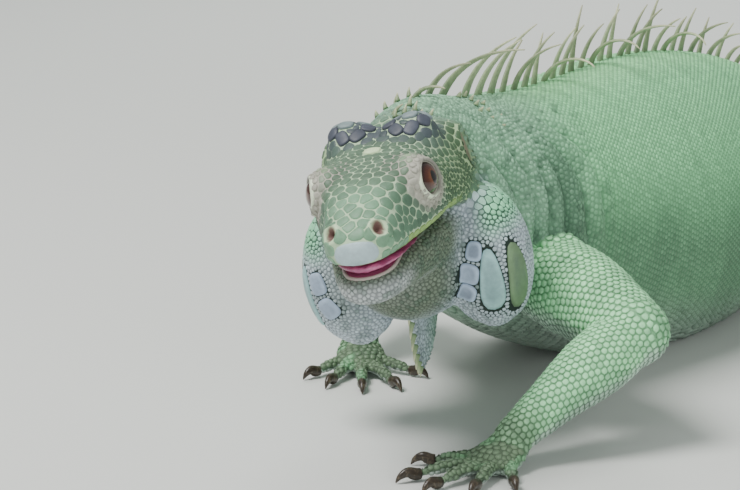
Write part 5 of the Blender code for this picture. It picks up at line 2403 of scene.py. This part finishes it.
@dataclass
class Lip:
    """The smooth fold of pale skin round the lower jaw's edge."""

    thick: float = 0.66

    def build(self, markings: Markings, surface: BVHTree) -> bpy.types.Object:
        """Lays the lip on the skin, from one corner of the mouth round the chin to the other.

        Args:
            markings: The colours of the skin.
            surface: The skin's surface.

        Returns:
            The piece.
        """
        path = []
        for turn in (*np.linspace(90, 62, 9), *np.linspace(48, -48, 9), *np.linspace(-62, -90, 9)):
            back = 36 * smooth(50, 90, abs(turn)) if abs(turn) > 60 else 0.0
            out = np.array((math.sin(math.radians(turn)), math.cos(math.radians(turn)), 0.0))
            middle = np.array((0.0, 70.0 - back, 0.0))
            if abs(turn) > 60:
                out = np.array((math.copysign(1.0, turn), 0.0, 0.0))
            middle[2] = float(through(LIP_STATIONS, min(middle[1] + out[1] * 13, 86))[1]) - 1.1
            spot = surface.ray_cast(from_head(middle + out * 60), -out @ HEAD)[0]
            path.append(to_head(np.array(spot)) - out * 0.35 + (0, 0, 0.35))
        full, thin = self.thick, self.thick * 0.7
        ends = ((0, 0.35), (0.12, thin), (0.4, full), (0.6, full), (0.88, thin), (1, 0.35))
        shape = swept(from_head(path), ends, 14, 120)
        obj = shape.made("lower_lip")
        ahead = to_head(shape.points)[:, 1]
        pale, side_tone = markings.tone("jaw_lip"), markings.tone("jaw")
        paint(obj.data, side_tone + (pale - side_tone) * smooth(52, 80, ahead)[:, None])
        return obj


@dataclass
class Eardrum:
    """One thin round drum in its shallow pit behind the jaw's corner."""

    side: float
    profile: tuple = (  # (share of the radius, height)
        (1.0, -5.0),
        (1.0, -0.8),
        (0.97, -0.35),
        (0.88, -0.3),
        (0.7, -0.6),
        (0.45, -0.85),
        (0.2, -0.95),
    )

    def build(self, name: str) -> bpy.types.Object:
        """Makes the drum, sunk at its middle where the ear's bone pulls on it.

        Args:
            name: The piece's name.

        Returns:
            The piece.
        """
        centre = mirrored(EARDRUM_CENTRE, self.side)
        aim = unit(mirrored(EARDRUM_AIM, self.side))
        across = unit(np.cross(aim, (0, 0, 1)))
        up = np.cross(across, aim)
        turns = circle(48)
        rings = []
        for share, depth in self.profile:
            ring = np.outer(np.cos(turns) * EARDRUM_RADIUS * share * 0.82, across)
            ring += np.outer(np.sin(turns) * EARDRUM_RADIUS * share * 1.15, up)
            rings.append(from_head(centre + aim * depth + ring))
        return loft(rings).made(name)


# ---------------------------------------------------------------- finishes


def feed(tree: bpy.types.NodeTree, target: bpy.types.Node, inputs: dict) -> None:
    """Sets or links a node's inputs.

    Args:
        tree: The material's node tree.
        target: The node.
        inputs: For each input, by name or number, a value or another node's output.
    """
    for name, value in inputs.items():
        if isinstance(value, bpy.types.NodeSocket):
            tree.links.new(value, target.inputs[name])
        else:
            target.inputs[name].default_value = value


def node(
    tree: bpy.types.NodeTree, kind: str, inputs: dict | None = None, **settings: object
) -> bpy.types.Node:
    """Adds a node with its settings and links.

    Args:
        tree: The material's node tree.
        kind: The node's type, without what all types start with.
        inputs: What its inputs are set or linked to.
        settings: The node's own settings; stops are a ramp's (place, sRGB hex).

    Returns:
        The node.
    """
    made = tree.nodes.new(f"ShaderNode{kind}")
    for number, (place, code) in enumerate(settings.pop("stops", ())):
        band = made.color_ramp.elements
        stop = band[number] if number < len(band) else band.new(place)
        stop.position, stop.color = place, (*linear(code), 1)
    for name, value in settings.items():
        setattr(made, name, value)
    feed(tree, made, inputs or {})
    return made


def blank(name: str) -> tuple[bpy.types.Material, bpy.types.NodeTree]:
    """Starts a material, and returns it with its node tree."""
    material = bpy.data.materials.new(name)
    material.use_nodes = True
    return material, material.node_tree


def surfaced(material: bpy.types.Material, inputs: dict) -> bpy.types.Material:
    """Sets or links what a material's own surface shader reads, and returns the material."""
    feed(material.node_tree, material.node_tree.nodes["Principled BSDF"], inputs)
    return material


@dataclass(frozen=True)
class PigmentedSkin:
    """Reptile skin: dry and soft between the scales, or the smooth keratin of the scales themselves."""

    name: str
    roughness: float
    grain: float  # size of the surface grain, in millimetres
    relief: float  # depth of the grain, in millimetres
    spread: float  # how much the pigment varies
    coat: float = 0.0
    blotch: float = 2.2  # size of the pigment's mottling, in millimetres

    def material(self) -> bpy.types.Material:
        """Makes pigment from the point colours, mottled, with a fine grain.

        Returns:
            The material.
        """
        material, tree = blank(self.name)
        place = node(tree, "NewGeometry").outputs["Position"]
        pigment = node(tree, "Attribute", attribute_name="pigment").outputs["Color"]
        blotch = {"Vector": place, "Scale": 1 / (self.blotch * MM), "Detail": 5.0, "Roughness": 0.65}
        mottle = node(tree, "TexNoise", blotch).outputs["Fac"]
        span = {"From Min": 0.3, "From Max": 0.7, "To Min": 1 - self.spread, "To Max": 1 + self.spread}
        level = node(tree, "MapRange", {"Value": mottle, **span}).outputs["Result"]
        scaled = node(tree, "VectorMath", {0: pigment, "Scale": level}, operation="SCALE")
        fine = {"Vector": place, "Scale": 1 / (self.grain * MM), "Detail": 3.0, "Roughness": 0.6}
        grain = node(tree, "TexNoise", fine).outputs["Fac"]
        raised = node(tree, "Bump", {"Height": grain, "Distance": self.relief * MM, "Strength": 0.8})
        look = {
            "Base Color": scaled.outputs["Vector"],
            "Normal": raised.outputs["Normal"],
            "Roughness": self.roughness,
            "IOR": 1.45,
            "Coat Weight": self.coat,
            "Coat Roughness": 0.3,
        }
        return surfaced(material, look)


@dataclass(frozen=True)
class ClawHorn:
    """Claw keratin, grown in layers: dark brown, paler at the root, with a dull shine."""

    root: str = "6d6250"
    layer: str = "3d342a"
    tip: str = "241e19"
    streak: float = 1.6  # width of the growth streaks, in millimetres

    def material(self) -> bpy.types.Material:
        """Makes dark horn, streaked along the claw.

        Returns:
            The material.
        """
        material, tree = blank("claw_keratin")
        place = node(tree, "NewGeometry").outputs["Position"]
        grown = {"Vector": place, "Scale": 1 / (self.streak * MM), "Detail": 6.0, "Distortion": 1.2}
        streak = node(tree, "TexNoise", grown).outputs["Fac"]
        stops = ((0.3, self.tip), (0.55, self.layer), (0.75, self.root))
        colour = node(tree, "ValToRGB", {"Fac": streak}, stops=stops).outputs["Color"]
        raised = node(tree, "Bump", {"Height": streak, "Distance": 0.08 * MM, "Strength": 0.7})
        look = {"Base Color": colour, "Normal": raised.outputs["Normal"], "Roughness": 0.34, "IOR": 1.54}
        return surfaced(material, look)


@dataclass(frozen=True)
class LivingEye:
    """An eye's wet surface: brown-red iris with fine spokes, a dark oval pupil and a clear gloss."""

    iris: float = 5.9  # radius, in millimetres
    pupil: tuple = (1.5, 2.5)  # half width and half height
    rings: tuple = ("1c0d09", "50291a", "6c4026", "47241a", "301814", "1e1a18")  # from the pupil outwards

    def material(self) -> bpy.types.Material:
        """Makes an iris and pupil from distances round the eye's own axis.

        Returns:
            The material.
        """
        material, tree = blank("cornea_and_iris")
        here = node(tree, "TexCoord").outputs["Object"]
        plane = {0: here, 1: (1 / MM, 1 / MM, 0)}
        flat = node(tree, "VectorMath", plane, operation="MULTIPLY").outputs["Vector"]
        far = node(tree, "VectorMath", {0: flat}, operation="LENGTH").outputs["Value"]
        spoke = node(tree, "VectorMath", {0: flat}, operation="NORMALIZE").outputs["Vector"]
        threads = {"Vector": spoke, "Scale": 9.0, "Detail": 6.0, "Roughness": 0.75}
        fibre = node(tree, "TexNoise", threads).outputs["Fac"]
        shifted = node(tree, "Math", {0: fibre, 1: 1.4, 2: far}, operation="MULTIPLY_ADD").outputs["Value"]
        share = node(tree, "Math", {0: shifted, 1: self.iris + 0.7}, operation="DIVIDE").outputs["Value"]
        stops = tuple(zip((0.0, 0.27, 0.38, 0.62, 0.85, 1.0), self.rings))
        colour = node(tree, "ValToRGB", {"Fac": share}, stops=stops).outputs["Color"]
        opening = (1 / self.pupil[0], 1 / self.pupil[1], 0)
        oval = node(tree, "VectorMath", {0: flat, 1: opening}, operation="MULTIPLY").outputs["Vector"]
        reach = node(tree, "VectorMath", {0: oval}, operation="LENGTH").outputs["Value"]
        dark = node(tree, "MapRange", {"Value": reach, "From Min": 0.92, "From Max": 1.08}).outputs["Result"]
        mixed = node(tree, "Mix", {0: dark, 6: (0.004, 0.003, 0.003, 1), 7: colour}, data_type="RGBA")
        gloss = {"Roughness": 0.12, "IOR": 1.38, "Coat Weight": 1.0, "Coat Roughness": 0.02}
        return surfaced(material, {"Base Color": mixed.outputs[2], **gloss})


@dataclass(frozen=True)
class WetFlesh:
    """The mouth's lining: pink, wet and a little see-through, with fine bumps."""

    deep: str = "93406a"
    light: str = "c9709a"
    blotch: float = 5.0  # millimetres
    papilla: float = 0.7

    def material(self) -> bpy.types.Material:
        """Makes mottled pink under a wet gloss.

        Returns:
            The material.
        """
        material, tree = blank("wet_mouth_lining")
        place = node(tree, "NewGeometry").outputs["Position"]
        blotch = node(tree, "TexNoise", {"Vector": place, "Scale": 1 / (self.blotch * MM), "Detail": 6.0})
        stops = ((0.35, self.deep), (0.65, self.light))
        colour = node(tree, "ValToRGB", {"Fac": blotch.outputs["Fac"]}, stops=stops).outputs["Color"]
        bumps = node(tree, "TexVoronoi", {"Vector": place, "Scale": 1 / (self.papilla * MM)})
        raised = node(tree, "Bump", {"Height": bumps.outputs["Distance"], "Distance": 0.12 * MM}, invert=True)
        look = {
            "Base Color": colour,
            "Normal": raised.outputs["Normal"],
            "Roughness": 0.38,
            "Subsurface Weight": 0.15,
            "Subsurface Radius": (0.002, 0.0008, 0.0006),
            "Coat Weight": 0.5,
            "Coat Roughness": 0.12,
        }
        return surfaced(material, look)


@dataclass(frozen=True)
class DrumMembrane:
    """The eardrum's thin grey-olive membrane, smooth and faintly veined."""

    base: str = "6c6a52"
    vein: str = "8d8468"
    spacing: float = 3.0  # of the veins, in millimetres

    def material(self) -> bpy.types.Material:
        """Makes smooth veined membrane.

        Returns:
            The material.
        """
        material, tree = blank("eardrum_membrane")
        place = node(tree, "NewGeometry").outputs["Position"]
        veins = {"Vector": place, "Scale": 1 / (self.spacing * MM), "Detail": 8.0, "Distortion": 1.5}
        vein = node(tree, "TexNoise", veins).outputs["Fac"]
        colour = node(tree, "ValToRGB", {"Fac": vein}, stops=((0.35, self.base), (0.7, self.vein)))
        return surfaced(material, {"Base Color": colour.outputs["Color"], "Roughness": 0.3})


@dataclass(frozen=True)
class StudioPaper:
    """Seamless background paper: matt, pale and even, with a faint tooth."""

    colour: str = "d9dbd8"
    tooth: float = 2.0  # millimetres: coarser than real paper's, so that it shows

    def material(self) -> bpy.types.Material:
        """Makes plain matt paper.

        Returns:
            The material.
        """
        material, tree = blank("background_paper")
        place = node(tree, "NewGeometry").outputs["Position"]
        tooth = node(tree, "TexNoise", {"Vector": place, "Scale": 1 / (self.tooth * MM), "Detail": 2.0})
        rough = {"Height": tooth.outputs["Fac"], "Distance": 0.05 * MM, "Strength": 0.3}
        raised = node(tree, "Bump", rough).outputs["Normal"]
        look = {"Normal": raised, "Base Color": (*linear(self.colour), 1), "Roughness": 0.9}
        return surfaced(material, look)


COATINGS = (
    PigmentedSkin("dry_skin", roughness=0.7, grain=0.7, relief=0.10, spread=0.10),
    PigmentedSkin("scale_keratin", roughness=0.52, grain=0.5, relief=0.05, spread=0.12, coat=0.04),
    PigmentedSkin("spine_horn", roughness=0.5, grain=0.9, relief=0.08, spread=0.2),
    PigmentedSkin("lid_skin", roughness=0.4, grain=0.5, relief=0.06, spread=0.08, coat=0.3),
)


def dress(obj: bpy.types.Object, material: bpy.types.Material) -> bpy.types.Object:
    """Gives an object one material, and returns the object."""
    obj.data.materials.clear()
    obj.data.materials.append(material)
    return obj


# ---------------------------------------------------------------- studio


@dataclass
class Studio:
    """The camera, the soft lights and the floor."""

    azimuth: float = 33.0  # degrees, from the animal's front towards its left
    elevation: float = 12.0
    distance: float = 0.9
    sensor: float = 36.0
    lens: float = 131.351351
    floor_half: float = 6.0
    shift: tuple = (0.0043333333, 0.006)  # how far the aim lies right of the snout and above it

    def camera(self) -> None:
        """Sets up the camera on the animal's left front, a little above it."""
        a, e = math.radians(self.azimuth), math.radians(self.elevation)
        view = Vector((-math.sin(a) * math.cos(e), math.cos(a) * math.cos(e), -math.sin(e)))
        right = view.cross(Vector((0, 0, 1))).normalized()
        up = right.cross(view)
        aim = Vector(from_head((0, 88, 3)) * MM) + right * self.shift[0] + up * self.shift[1]
        lens = bpy.data.cameras.new("camera")
        lens.sensor_width, lens.lens, lens.clip_start = self.sensor, self.lens, 0.02
        obj = linked(bpy.data.objects.new("camera", lens))
        turn = Matrix((right, up, -view)).transposed().to_4x4()
        obj.matrix_world = Matrix.Translation(aim - view * self.distance) @ turn
        bpy.context.scene.camera = obj

    def lamp(self, name: str, place: tuple, target: tuple, size: float, power: float, colour: tuple) -> None:
        """Adds one large soft light.

        Args:
            name: Its name.
            place: Where it stands, in metres.
            target: The place it is aimed at.
            size: Its width, in metres.
            power: Its power, in watts.
            colour: Its linear colour.
        """
        data = bpy.data.lights.new(name, "AREA")
        data.shape, data.size, data.energy, data.color = "DISK", size, power, colour
        obj = linked(bpy.data.objects.new(name, data))
        obj.location = place
        obj.rotation_euler = (Vector(target) - Vector(place)).to_track_quat("-Z", "Y").to_euler()
        obj.visible_glossy = name == "key"  # one clear glint in each eye

    def build(self) -> None:
        """Sets up the whole studio."""
        self.camera()
        neck, back = (0, -0.05, 0.05), (0, 0, 0.1)
        self.lamp("key", (-0.35, -0.75, 1.35), neck, size=0.7, power=26, colour=(1.0, 0.985, 0.96))
        self.lamp("fill", (1.3, -1.1, 0.45), neck, size=1.1, power=13, colour=(0.95, 1.0, 0.98))
        self.lamp("rim", (-0.7, 1.3, 1.1), back, size=0.9, power=16, colour=(0.96, 1.0, 0.97))
        world = bpy.data.worlds.new("studio")
        world.use_nodes = True
        sky = {"Color": (0.80, 0.83, 0.82, 1), "Strength": 0.42}
        feed(world.node_tree, world.node_tree.nodes["Background"], sky)
        bpy.context.scene.world = world
        corners = np.array(((-1, -1, 0), (1, -1, 0), (1, 1, 0), (-1, 1, 0))) * self.floor_half / MM
        floor = Shape(corners, [(0, 1, 2, 3)]).made("floor")
        dress(floor, StudioPaper().material())


def main() -> None:
    """Builds the studio and the animal, piece by piece."""
    logging.basicConfig(level=logging.INFO, format="%(message)s")
    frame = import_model()
    Studio().build()
    body, legs, markings = BodyAxis(), all_legs(), Markings()
    hide, keratin, horn, moist = (finish.material() for finish in COATINGS)

    skin = Skin(body, legs)
    hull = dress(skin.build(), hide)
    flesh = [n for n in frame["nodes"] if not n.startswith(("claw_", "eye_", "eardrum_", "tongue"))]
    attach(hull, "root")
    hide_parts(*flesh)
    log.info("skin: %d faces for %d solids", len(hull.data.polygons), len(flesh))

    atlas = Atlas(body, legs)
    coat = Coat(skin, atlas, markings)
    for piece in coat.grow():
        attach(dress(piece, keratin), "root")
        log.info("%s: %d triangles", piece.name, len(piece.data.polygons))
    paint(hull.data, coat.skin_colours())

    crest = dress(Crest(body).build(), horn)
    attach(crest, "root")
    log.info("crest: %d faces", len(crest.data.polygons))

    claws = Shape()
    for leg in legs:
        claws.add(leg.claws())
    claw_set = dress(claws.made("claws"), ClawHorn().material())
    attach(claw_set, "root")
    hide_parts(*[n for n in frame["nodes"] if n.startswith("claw_")])
    log.info("claws: %d faces", len(claw_set.data.polygons))

    gloss, drum = LivingEye().material(), DrumMembrane().material()
    for word, side in SIDES:
        eye = Eye(side, skin)
        ball = dress(eye.ball(f"eyeball_{word}"), gloss)
        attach(ball, "root")
        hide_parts(f"eye_{word}")
        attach(dress(eye.edges(f"lid_edges_{word}", markings), moist), "root")
        ear = dress(Eardrum(side).build(f"drum_{word}"), drum)
        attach(ear, "root")
        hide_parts(f"eardrum_{word}")
        log.info("eye and ear, %s", word)
    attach(dress(Lip().build(markings, coat.surface), moist), "root")
    tongue = dress(Mouth().tongue(), WetFlesh().material())
    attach(tongue, "root")
    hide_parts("tongue")
    log.info("tongue")


if __name__ == "__main__":
    main()
